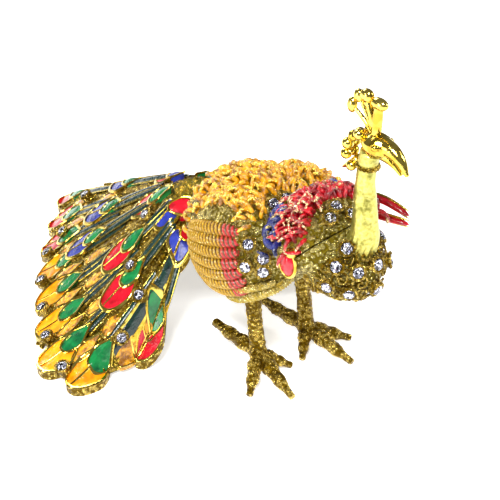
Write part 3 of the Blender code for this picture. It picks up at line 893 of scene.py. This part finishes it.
def make_feather(piece, foot, tip, width, lift, outer, inner, depth):
    """A big drop with a gold edge and midrib, a smaller drop on its hind half, and two dark stems."""
    way = unit(tip - foot)
    length = np.linalg.norm(tip - foot)
    piece.add(leaf_solid(foot, tip, width, lift - 0.15, depth), COLOURS["plate"])
    piece.add(leaf_solid(foot, tip, width, lift + 0.05, 0.1, dome=0.30, inset=0.5), COLOURS[outer])
    piece.add(leaf_rim(foot, tip, width, lift + 0.16, EDGE_WIRE, inset=0.2), 0, loop=True)
    piece.add(strip(tip - way * 0.6, tip - way * length * 0.62, 0.0, lift + 0.36, MIDRIB), 0)
    nose = tip - way * length * 0.46
    heel = nose - way * min(9.5, 0.7 * width + 3.2) * pull(nose)
    narrow = width * 0.58
    piece.add(leaf_solid(heel, nose, narrow, lift + 0.55, 0.1, dome=0.35, inset=0.35), COLOURS[inner])
    piece.add(leaf_rim(heel, nose, narrow, lift + 0.62, DROP_WIRE, inset=0.12), 0, loop=True)
    room = np.linalg.norm(heel) - ROOT_CLEAR
    if room < 1.5:
        return
    end = heel - way * min(STEM_LENGTH * pull(heel), room)
    start = heel + way * 1.2
    for half in (-0.95, 0.95):
        piece.add(strip(start, end, half, lift + 0.25, STEM), COLOURS["dark"])
    piece.add(strip(start, end, 0.0, lift + 0.55, 0.28), 0)
    for half in (-1.9, 1.9):
        piece.add(strip(start, end, half, lift + 0.2, 0.30), 0)


def fill_between(piece, side):
    """Amber leaves, veined strips and clusters of gold burrs on the skirt between the feathers."""
    angles = np.degrees(TIP_ANGLES)
    for index, (one, other) in enumerate(zip(angles, angles[1:])):
        middle = (one + other) / 2 * side
        for share, length, width in ((0.84, 9.0, 3.8), (0.62, 8.0, 3.6)):
            tip = tail_point(middle + (1.6 if share < 0.7 else 0.0), share)
            foot = tip - unit(tip) * length * pull(tip)
            piece.add(leaf_solid(foot, tip, width, 0.55, 0.6, 28, dome=0.35), COLOURS["leaf"])
            piece.add(leaf_rim(foot, tip, width, 0.6, 0.24, 36), 0, loop=True)
        spot = on_tail(tail_point(middle, 0.93), 0.5)
        offsets = shake.normal(0, 0.75, (7, 3)) * (1, 1, 0.35)
        for offset in offsets:
            piece.add(egg(((spot + offset), (0.55, 0.55, 0.5)), 6, 8), COLOURS["plate"])
    for angle in np.arange(4.0, 100.0, 5.0):
        start, end = tail_point(angle * side, 0.66), tail_point(angle * side, 0.10)
        piece.add(strip(start, end, 0.0, 0.25, 0.9, 40), COLOURS["plate"])


def tail_plate():
    """The skirt under the feathers: its top, rim and underside as one closed grid."""
    columns, rows = 220, 60
    angle = np.linspace(-TAIL_EDGE, TAIL_EDGE, columns)[:, None]
    start, end = shift(PLATE_START, angle), PLATE_REACH * rim_radius(angle)
    radius = start + (end - start) * np.linspace(0, 1, rows)
    back, side = radius * np.cos(angle), radius * np.sin(angle)
    veins = 0.22 * np.sin(radius * 3.4 + 5 * np.abs(np.sin(angle * 14)))
    top = tail_at(back, side, veins)
    under = tail_at(back, side, -PLATE)
    return np.concatenate([top, under[:, ::-1]], 1)


def make_tail():
    """The skirt, and the feathers and fillings of each side."""
    finishes = (polished, red, green, blue, amber, dark, curly_amber, coarse)
    plate = Piece("tail_plate", plate_gold)
    plate.add(tail_plate())
    plate.make(sharp=40)
    for side, label in ((1.0, "right"), (-1.0, "left")):
        piece = Piece(f"tail_feathers_{label}", *finishes)
        for feather in all_feathers(side):
            make_feather(piece, *feather)
        fill_between(piece, side)
        piece.make(sharp=50)


# Stones

def tail_seat(angle, share):
    """Place and upward normal of a stone's seat on the tail, from its slopes both ways."""
    spot = tail_point(angle, share)
    where = on_tail(spot, TAIL_SEAT)
    ahead = on_tail(spot + (0.5, 0.0), TAIL_SEAT) - where
    beside = on_tail(spot + (0.0, 0.5), TAIL_SEAT) - where
    normal = unit(np.cross(ahead, beside))
    return where, normal * np.sign(normal[2])


def frames(normals):
    """Two directions square to each normal and to each other."""
    normals = np.asarray(normals, float)
    hint = np.where(np.abs(normals[..., 2:]) > 0.9, (1.0, 0.0, 0.0), (0.0, 0.0, 1.0))
    one = unit(np.cross(hint, normals))
    return one, np.cross(normals, one)


def lathe(where, normals, profile, columns, twist=None):
    """Rings round normals: (radius, height) profile carried round each place.

    twist gives each ring an added share of the radius, as an array of rings and columns.
    """
    where, normals = np.atleast_2d(where), np.atleast_2d(normals)
    one, two = frames(normals)
    a = turn(columns)
    radius = np.array([r for r, _ in profile])[:, None] * (1 if twist is None else 1 + twist)
    height = np.array([h for _, h in profile])
    out = np.cos(a)[:, None] * one[:, None, None] + np.sin(a)[:, None] * two[:, None, None]
    ring = np.broadcast_to(radius, (len(profile), columns))[None, ..., None] * out
    return where[:, None, None] + ring + height[None, :, None, None] * normals[:, None, None]


def brilliant(where, normals, size=STONE):
    """A round-cut stone: flat table, two rows of crown facets, girdle and a blunt cone below."""
    star = 0.05 * np.cos(8 * turn(16))
    profile = (
        (0.30 * size, STONE_TOP), (0.60 * size, STONE_TOP), (0.86 * size, 1.34),
        (size, 0.98), (size, 0.90), (0.3 * size, 0.32),
    )
    twist = np.stack([0 * star, star, -star, 0 * star, 0 * star, 0 * star])
    return lathe(where, normals, profile, 16, twist)


def rope_ring(where, normals, radius, thick, height, columns=72, strands=18):
    """A twisted wire bent into a ring: a circle whose radius swells along a helix."""
    where, normals = np.atleast_2d(where), np.atleast_2d(normals)
    one, two = frames(normals)
    a, b = turn(columns)[:, None], turn(8)[None]
    swell = thick * (1 + 0.25 * np.cos(strands * a + 2 * b))
    out = (radius + swell * np.cos(b))[..., None]
    way = np.cos(a)[..., None] * one[:, None, None] + np.sin(a)[..., None] * two[:, None, None]
    lift = (height + swell * np.sin(b))[..., None]
    return where[:, None, None] + out * way + lift * normals[:, None, None]


def cups(piece, where, normals, deep):
    """A cup under each stone, its faceted silver lining, and the twisted ring round it."""
    outside = ((1.50, -deep), (1.70, 0.1), (1.68, 0.75))
    piece.add(lathe(where, normals, outside, 20), 0)
    star = np.stack([0 * turn(8), 0.25 * np.cos(4 * turn(8)), 0 * turn(8)])
    lining = ((1.38, 0.78), (0.9, 0.86), (0.3, 0.80))
    piece.add(lathe(where, normals, lining, 8, star), 1)
    piece.add(rope_ring(where, normals, 1.58, 0.36, 0.98, strands=14), 0, loop=True)


def make_stones():
    """Every group of stones, each stone replacing its node, with their cups."""
    seats = [on_ball(BREAST, *spot) for spot in BREAST_STONES]
    groups = [("breast_stone", *map(np.array, zip(*seats)), CUP_DEPTH)]
    groups.append(("back_stone", *on_back(*np.array(BACK_STONES).T), CUP_DEPTH))
    for side, label in ((-1.0, "right"), (1.0, "left")):
        forward, above = np.array(WING_STONES).T
        groups.append((f"wing_stone_{label}", *on_wing(forward, above, side), CUP_DEPTH))
    for side, label in ((1.0, "right"), (-1.0, "left")):
        seats = [tail_seat(angle * side, share) for angle, share in TAIL_STONES]
        groups.append((f"tail_stone_{label}", *map(np.array, zip(*seats)), TAIL_CUP_DEPTH))
    for name, where, normals, deep in groups:
        nodes = [f"{name}_{index + 1}" for index in range(len(where))]
        stones = Piece(f"{name}s", glass).add(brilliant(where, normals))
        stones.make(smooth=False, replaces=nodes, slot="clear_stone")
        holders = Piece(f"{name}_cups", coarse, silver)
        cups(holders, where, normals, deep)
        holders.make(sharp=50)


# Body, lid and wings

def grainy(ways, places, count, height, lumps=0.0):
    """How far grains stand out: a dome on each of count evenly spread seeds, and slow lumps."""
    gap = nearest(ways, spread(count))
    cell = math.sqrt(4 * math.pi / count) * 0.62
    dome = np.sqrt(np.clip(1 - (gap / cell) ** 2, 0, 1))
    return height * dome + lumps * ripple(places, 3.0)


GRAINS = 2600
SHELLS = ((False, "belly_and_breast", "body_with_tail"), (True, "back_shell", "back_lid"))


def make_shells():
    """The grained outside and plain inside of the belly and the lid, joined at the seam."""
    rows, columns = 150, 260
    for lid, name, node in SHELLS:
        ways = shell_rows(lid, rows, columns, SEAM_GAP)
        outer = skin(ways)
        out = grainy(ways, outer, GRAINS, 0.16, 0.08) - 0.12
        edge = ramp(0.0, 0.02, 1 - np.linspace(0.02, 1, rows))[:, None]
        outer = outer + ways * (out * edge)[..., None]
        inner = skin(ways[::-6], WALL)
        piece = Piece(name, granular).add(np.concatenate([outer, inner]))
        piece.make(sharp=60, replaces=[node], slot="gilt_metal")


# Wing: its ribs' angles above level, ends forward and back, and radius
RIB_ANGLES = tuple(38.0 - 12.5 * bar for bar in range(7))
RIB_ENDS = (15.8, -5.2)
RIB_RADIUS = 1.42
RIB_TURNS = 21


def twisted(path, radius, normals, strands, sides=14, depth=0.14, flat=1.0):
    """A rope rib and how deep its grooves are: a rod whose radius swells along a helix."""
    t = np.linspace(0, 1, len(path))[:, None]
    a = turn(sides)[None]
    wave = np.cos(2 * np.pi * strands * t + 2 * a)
    ends = np.sqrt(np.clip(1 - np.abs(2 * t - 1) ** 9, 0.0, 1.0))
    return sweep(path, radius * (1 + depth * wave) * ends, sides, normals, flat), (1 - wave) / 2


def rope(piece, stations, radius, turns, slot=0, depth=0.16):
    """A rope on a smooth curve through stations."""
    path = curve(stations, 16 * len(stations) + 30)
    points, dip = twisted(path, radius, (0.0, 0.0, 1.0), turns, 12, depth)
    piece.add(points, slot, shade=dip)


# The rim of the wing, (forward, left, up), and the drop and flower before it, on the
# bird's right side
LOWER_BAND = (
    (8.6, -15.2, 23.6), (12.6, -14.8, 24.4), (15.4, -14.5, 25.9), (18.7, -13.9, 28.0),
    (21.0, -12.0, 29.6), (22.2, -9.8, 31.0), (22.6, -7.6, 32.2),
)
UPPER_BAND = ((13.2, -16.9, 27.6), (16.6, -16.2, 29.2), (19.7, -14.8, 30.8), (22.2, -12.4, 32.2))
DROP = ((26.0, -12.6, 39.0), (2.1, 1.3, 3.1))
FLOWER = (19.4, -13.1, 40.5)


def make_wing(side, label):
    """A wing: its pad with scales, its rope ribs, and the trim round it."""
    pad = Piece(f"wing_pad_{label}", granular)
    x = np.cos(np.linspace(0.03, np.pi - 0.03, 150))[:, None]
    forward = WING[0][0] + x * WING[1][0] * math.cos(WING_PITCH)
    above = np.linspace(-180, 180, 220, endpoint=False)[None]
    place, normal = on_wing(forward, above, side)
    pad.add(place + normal * (0.12 * ripple(place, 1.1) + 0.05)[..., None])
    rows, columns = np.meshgrid(np.arange(5), np.arange(4), indexing="ij")
    rows, columns = rows.ravel(), columns.ravel()
    where, normals = on_wing(15.2 + 1.7 * columns, 30.0 + 9 * rows + 4 * (columns % 2), side)
    pad.add(lathe(where, normals, ((1.25, -0.3), (1.25, 0.25), (0.8, 0.62), (0.3, 0.72)), 14))
    pad.make()
    ribs = Piece(f"wing_ribs_{label}", rope_red)
    t = np.linspace(0, 1, 150)
    for above in RIB_ANGLES:
        forward = RIB_ENDS[1] + (RIB_ENDS[0] - RIB_ENDS[1]) * t
        path, normals = on_wing(forward, above - 3 * np.sin(np.pi * t), side)
        local = (forward - WING[0][0]) / math.cos(WING_PITCH) / WING[1][0]
        radius = (RIB_RADIUS * np.sqrt(np.clip(1 - local**2, 0.16, 1)))[:, None]
        # the grooves' depth is carried as the shade number, which rope_enamel turns into painted shade in
        # the grooves
        points, dip = twisted(path + normals * 0.25, radius, normals, RIB_TURNS, flat=0.9, depth=0.2)
        ribs.add(points, shade=dip)
    ribs.make()
    trim = Piece(f"wing_trim_{label}", bright, red, polished)
    mirror = (1.0, -side, 1.0)
    rope(trim, np.array(LOWER_BAND) * mirror, 1.25, 26)
    rope(trim, np.array(UPPER_BAND) * mirror, 0.85, 22)
    centre, radii = np.array(DROP[0]) * mirror, DROP[1]
    trim.add(egg((centre, radii)), 1)
    trim.add(egg((centre + np.array((0.9, 0, 3.0)), (1.5, 1.2, 1.2)), 12, 16), 2)
    a = turn(40)
    ring = centre + np.stack([1.15 * radii[0] * np.cos(a), 0 * a, 1.1 * radii[2] * np.sin(a)], -1)
    trim.add(sweep(ring, 0.42, 8, (0.0, 1.0, 0.0), loop=True), 2, loop=True)
    spot = np.array(FLOWER) * mirror
    for angle in turn(6):
        way = np.array((math.cos(angle), 0.15, math.sin(angle)))
        trim.add(egg((spot + 1.3 * way, (0.8, 0.7, 0.8)), 8, 10), 0)
    trim.add(egg((spot, (0.7, 1.0, 0.7)), 8, 10), 2)
    trim.make()


# Ruffs

def curls(where, normals, lean, radius, length, bend=2.3, rows=9, sides=7):
    """Blunt petals: foot + (normal * sin a + lean * (1 - cos a)) * length / bend."""
    a = np.linspace(0, 1, rows) * bend
    lean = unit(lean - (lean * normals).sum(-1, keepdims=True) * normals)
    rise, over = np.sin(a)[None, :, None], (1 - np.cos(a))[None, :, None]
    arc = normals[:, None] * rise + lean[:, None] * over
    path = where[:, None] + arc * (length / bend)[:, None, None]
    taper = radius[:, None, None] * (1.0 - 0.6 * np.linspace(0, 1, rows)[None, :, None] ** 2)
    side = unit(np.cross(normals, lean))
    return sweep(path, taper, sides, np.broadcast_to(side[:, None], path.shape), 0.75)


def keep_clear(where, spots):
    """Which places are clear of the stones."""
    return np.linalg.norm(where[:, None] - spots[None], axis=-1).min(1) > STONE + 1.1


def collar_line(left):
    """How far forward the middle of the red collar is, at a place across it."""
    return 21.2 + 5.5 * (np.abs(left) / 12.0) ** 1.6


def petals(piece, forward, left, spots, way, size, length, jitter, slot=0):
    """Petals standing on the back at (forward, left), leaning along way and clear of the stones."""
    where, normals = on_back(forward, left)
    keep = keep_clear(where, spots) & (where[:, 2] > 30)
    where, normals, left = where[keep], normals[keep], left[keep]
    lean = np.stack([way[0] + 0 * left, way[1] * np.sign(left), way[2] + 0 * left], -1)
    lean = lean + shake.normal(0, jitter, lean.shape)
    radius = shake.uniform(size * 0.8, size * 1.15, len(where))
    lengths = shake.uniform(length * 0.8, length * 1.2, len(where))
    piece.add(curls(where - normals * 0.5, normals, lean, radius, lengths), slot)


def make_ruffs():
    """The amber ruff on the back, the red collar before it, and the blue leaves between."""
    spots, _ = on_back(*np.array(BACK_STONES).T)
    ruff = Piece("back_ruff", curly_amber)
    row, column = np.meshgrid(np.arange(17), np.arange(19), indexing="ij")
    forward = (-7.5 + row * 1.5).ravel() + shake.normal(0, 0.3, row.size)
    left = ((column - 9) * 1.55 + 0.8 * (row % 2) - 0.4).ravel() + shake.normal(0, 0.3, row.size)
    keep = (np.abs(left) < 13.6) & (forward < 13.2 + 3.0 * (np.abs(left) / 12) ** 1.3)
    petals(ruff, forward[keep], left[keep], spots, (-0.7, 0.4, 0.1), 0.78, 3.6, 0.8)
    ruff.make()
    collar = Piece("red_collar", curly_red)
    for shift_by in (-3.2, -1.9, -0.6, 0.7, 2.0, 3.2):
        left = np.linspace(-13.0, 13.0, 23) + shake.normal(0, 0.25, 23)
        forward = collar_line(left) + shift_by
        petals(collar, forward, left, spots, (-0.3, 0.7, 0.2), 0.72, 4.4, 0.5)
    collar.make()
    leaves = Piece("blue_leaves", navy)
    for shift_by in (-6.6, -5.4, -4.2):
        left = np.concatenate([np.linspace(-14.2, -5.0, 9), np.linspace(5.0, 14.2, 9)])
        forward = collar_line(left) + shift_by + shake.normal(0, 0.3, 18)
        petals(leaves, forward, left, spots, (-0.2, 0.6, 0.3), 1.0, 4.2, 0.5)
    leaves.make()


# Breast

# Spirals on the breast: angle round it and above level, and size
SWIRLS = (
    (-52, 6, 2.4), (-24, -2, 2.5), (-14, 36, 2.3), (-44, 33, 2.0), (-78, 18, 2.3),
    (-56, -22, 2.3), (-22, -24, 2.4), (18, 2, 2.4), (24, 34, 2.2), (62, 20, 2.4),
    (58, -8, 2.4), (24, -26, 2.3), (-86, -12, 2.2), (84, 2, 2.3), (-4, -44, 2.3),
)
BREAST_ROPE = (27.4, 8.5)


def make_breast():
    """Spirals of wire laid on the breast, r = size * share of the way, and the rope behind them."""
    piece = Piece("breast_filigree", coarse)
    share = np.linspace(0.06, 1, 60)
    a = share * 3.6 * np.pi
    for around, above, size in SWIRLS:
        where, normal = on_ball(BREAST, around, above)
        one, two = frames(normal)
        path = where + size * share[:, None] * (np.cos(a)[:, None] * one + np.sin(a)[:, None] * two)
        centre = np.array(BREAST[0])
        path = centre + unit(path - centre) * (BREAST[1][0] + 0.25)
        piece.add(sweep(path, 0.30 * (1.15 - 0.4 * share[:, None]), 8, normal))
    a = turn(220)
    forward, radius = BREAST_ROPE
    up = BREAST[0][2] - 0.4 + radius * np.sin(a)
    ring = np.stack([forward + 0 * a, radius * np.cos(a), up], -1)
    swell = 0.62 * (1 + 0.2 * np.cos(30 * a[:, None] + 2 * turn(10)))
    piece.add(sweep(ring, swell, 10, (1.0, 0.0, 0.0), loop=True), loop=True)
    piece.make()


# Neck, head, beak and crest: (forward, up, radius)
NECK = (
    (34.6, 41.0, 3.8), (36.2, 45.5, 3.2), (36.2, 49.5, 2.75), (35.8, 54.0, 2.5),
    (35.7, 58.6, 2.1), (36.1, 63.0, 2.15), (36.8, 65.6, 2.3),
)
HEAD = ((38.3, 0.0, 67.6), (3.7, 2.9, 2.7))
UPPER_BEAK = ((39.4, 68.2, 2.0), (42.4, 67.7, 1.65), (44.8, 66.2, 1.15), (46.7, 63.7, 0.4))
LOWER_BEAK = ((39.0, 66.4, 1.4), (42.6, 65.4, 1.0), (45.2, 63.4, 0.4))
HEAD_POINT = ((33.6, 62.6, 1.2), (31.0, 60.6, 0.8), (29.1, 59.2, 0.25))
HEAD_CURLS = (
    (32.6, 0.9, 68.0, 1.25), (31.3, 1.2, 65.9, 1.3), (30.9, 1.1, 63.4, 1.25),
    (32.6, 1.2, 61.2, 1.15), (34.6, 1.6, 69.2, 1.2),
)
EYE = ((39.6, 2.2, 68.2), (0.9, 0.9, 0.8))
RING = (36.1, 62.2, 2.25)
CREST_FOOT = (37.6, 69.6)
CREST = (
    ((30.9, 74.0), (1.2, 1.0, 1.7), 0.5),
    ((32.6, 76.6), (1.2, 1.0, 1.5), 0.6),
    ((34.8, 77.3), (1.7, 1.2, 1.5), 0.8),
    ((38.2, 76.6), (2.2, 1.2, 1.35), 1.15),
)


def in_plane(stations, count, left=0.0):
    """A path at one distance left, and its radii, through (forward, up, radius) stations."""
    line = curve(stations, count)
    return np.stack([line[:, 0], left + 0 * line[:, 0], line[:, 1]], -1), line[:, 2:]


def spine(stations, count=28, sides=20):
    """A rod in the middle plane through (forward, up, radius) stations."""
    path, radius = in_plane(stations, count)
    return sweep(path, radius, sides, (0.0, 1.0, 0.0))


def make_neck_and_head():
    """The neck, fluted at its foot, with its rope ring, and the head with beak and crest."""
    neck = Piece("neck", satin, coarse)
    path, radius = in_plane(NECK, 110)
    a = turn(56)
    low = ramp(49.0, 43.0, path[:, 2])[:, None]
    flutes = 0.08 * low * np.cos(16 * a)[None] + 0.012 * np.cos(9 * a)[None]
    neck.add(sweep(path, radius * (1 + flutes), 56, (0.0, 1.0, 0.0)))
    where, normal = np.array((RING[0], 0.0, RING[1])), np.array((0.1, 0.0, 1.0))
    neck.add(rope_ring(where, normal, RING[2], 0.42, 0.0), 1, loop=True)
    neck.make()
    head = Piece("head_and_beak", polished)
    cap = egg(HEAD, 30, 40)
    centre = np.array(HEAD[0])
    head.add(cap + unit(cap - centre) * (0.10 * ripple(cap, 1.6))[..., None])
    for stations in (UPPER_BEAK, LOWER_BEAK, HEAD_POINT):
        head.add(spine(stations))
    for forward, left, up, radius in HEAD_CURLS:
        for side in (-1.0, 1.0):
            head.add(egg(((forward, side * left, up), (radius, radius, radius)), 12, 16))
    for (forward, up), radii, thick in CREST:
        foot = (CREST_FOOT[0], CREST_FOOT[1] - 1.2, thick)
        middle = (forward * 0.4 + CREST_FOOT[0] * 0.6, (up + CREST_FOOT[1]) / 2 - 0.4, thick)
        head.add(spine((foot, middle, (forward, up, thick * 0.8)), 14, 10))
        head.add(egg(((forward, 0.0, up), radii), 14, 18))
    for side in (-1.0, 1.0):
        head.add(egg((np.array(EYE[0]) * (1, side, 1), EYE[1]), 10, 14))
    head.make()


# Legs and feet: (forward, up, radius) of the leg and its foot's hub, and each toe's tip
# (forward, left, up) with its radii
STANCE = 8.0
LEG = ((9.4, 23.6, 2.3), (10.4, 15.0, 1.8), (11.7, 6.0, 2.0))
HUB = (11.7, 5.0, 2.3)
TOES = (
    ((18.6, 16.9, 0.8), (1.9, 1.7, 0.7)),
    ((25.9, 10.0, 0.8), (1.9, 1.7, 0.7)),
    ((16.9, 1.8, 0.8), (1.7, 1.5, 0.7)),
    ((-4.3, 7.7, 5.2), (1.8, 1.7, 1.0)),
)


def make_leg(side, label):
    """A leg, its foot's hub and four knotted toes, all lumpy."""
    piece = Piece(f"leg_{label}", coarse)
    path, radius = in_plane(LEG, 110, side * STANCE)
    a = turn(36)
    around = 2 * np.stack([np.cos(a), np.sin(a), 0 * a], -1)
    near = path[:, None] + around
    rough = 1 + 0.09 * ripple(near, 1.3) + 0.05 * ripple(near, 0.7, 5)
    piece.add(sweep(path, radius * rough, 36, (0.0, 1.0, 0.0)))
    forward, up, radius = HUB
    hub = egg(((forward, side * STANCE, up), (radius,) * 3), 30, 40)
    centre = np.array((forward, side * STANCE, up))
    piece.add(hub + unit(hub - centre) * (0.18 * ripple(hub, 1.2))[..., None])
    for (forward, left, up), radii in TOES:
        height = up - 0.3 if up > 2 else 2.8
        middle = ((HUB[0] + forward) / 2, (STANCE + left) / 2, height)
        stations = np.array([(HUB[0], STANCE, HUB[1]), middle, (forward, left, up)])
        path = curve(stations, 60) * (1, side, 1)
        radius = curve(np.array(radii)[:, None], 60)
        knots = 1 + 0.10 * np.cos(np.linspace(0, 6 * np.pi, 60))[:, None]
        skinned = knots * (1 + 0.08 * ripple(path[:, None] + around[::2] * 0.7, 1.0))
        rings = sweep(path, radius * skinned, 18)
        rings[..., 2] = np.maximum(rings[..., 2], 0.0)
        piece.add(rings)
    piece.make()


# Tips before the far wing: three points (forward, left, up) and the radius of each
FAR_TIPS = (
    ((18.0, 15.6, 42.4), (25.2, 17.9, 42.6), (32.0, 19.4, 40.8), 1.1),
    ((18.0, 15.8, 38.4), (26.4, 17.2, 38.9), (32.2, 19.4, 38.6), 1.0),
)


def make_far_tips():
    """The enamelled tips before the far wing, each a flattened rod between gold edges."""
    piece = Piece("far_wing_tips", red, polished)
    for start, middle, end, radius in FAR_TIPS:
        path = curve((start, middle, end), 40)
        t = np.linspace(0, 1, 40)[:, None]
        thick = radius * np.sqrt(np.clip(1 - t**6, 0.02, 1))
        piece.add(sweep(path, thick, 14, (0.0, 0.0, 1.0), 0.8), 0)
        for lift in (-0.85, 0.85):
            piece.add(sweep(path + np.array((0, 0.25, lift * radius)), 0.34 * thick / radius, 8), 1)
    piece.make()


# Stage, light and camera

def floor():
    """A plain pale floor that glows a little, so it stays white."""
    bpy.ops.mesh.primitive_plane_add(size=FLOOR_SIDE, location=(0.0, 0.0, 0.0))
    plane = bpy.context.object
    plane.name = "floor"
    made = Finish("pale_floor", base_color=(0.9, 0.9, 0.9, 1.0), roughness=0.9)
    made.socket("emission_color").default_value = (1.0, 1.0, 1.0, 1.0)
    made.socket("emission_strength").default_value = FLOOR_GLOW
    plane.data.materials.append(made.material)


def area_light(name, place, size, power):
    """A white rectangular lamp that points at the bird."""
    light = bpy.data.lights.new(name, "AREA")
    light.shape = "RECTANGLE"
    light.size, light.size_y = size
    light.energy = power
    lamp = bpy.data.objects.new(name, light)
    lamp.location = place
    way = Vector(LIT_POINT) - Vector(place)
    lamp.rotation_euler = way.to_track_quat("-Z", "Y").to_euler()
    bpy.context.scene.collection.objects.link(lamp)


def light_scene():
    """A dim even studio with soft lamps, and colours shown without a film look."""
    studio = bpy.data.worlds.new("studio")
    bpy.context.scene.world = studio
    studio.use_nodes = True
    background = studio.node_tree.nodes["Background"]
    background.inputs["Color"].default_value = (0.95, 0.97, 1.0, 1.0)
    background.inputs["Strength"].default_value = WORLD_STRENGTH
    for lamp in LIGHTS:
        area_light(*lamp)
    bpy.context.scene.view_settings.view_transform = "Standard"


def place_camera():
    """The camera, at a heading and height round its aim, with depth of field off."""
    heading, elevation = math.radians(HEADING), math.radians(ELEVATION)
    aim = np.array(AIM)
    level = math.cos(elevation)
    way = np.array([math.sin(heading) * level, -math.cos(heading) * level, math.sin(elevation)])
    eye, target = (Vector(world(point)) for point in (aim + DISTANCE * way, aim))
    data = bpy.data.cameras.new("camera")
    data.lens = LENS
    data.sensor_width = SENSOR
    camera = bpy.data.objects.new("camera", data)
    camera.location = eye
    camera.rotation_euler = (target - eye).to_track_quat("-Z", "Y").to_euler()
    data.clip_start, data.clip_end = CLIP
    bpy.context.scene.collection.objects.link(camera)
    bpy.context.scene.camera = camera


make_tail()
make_stones()
make_shells()
make_wing(-1.0, "right")
make_wing(1.0, "left")
make_ruffs()
make_breast()
make_neck_and_head()
make_leg(-1.0, "right")
make_leg(1.0, "left")
make_far_tips()
floor()
light_scene()
place_camera()
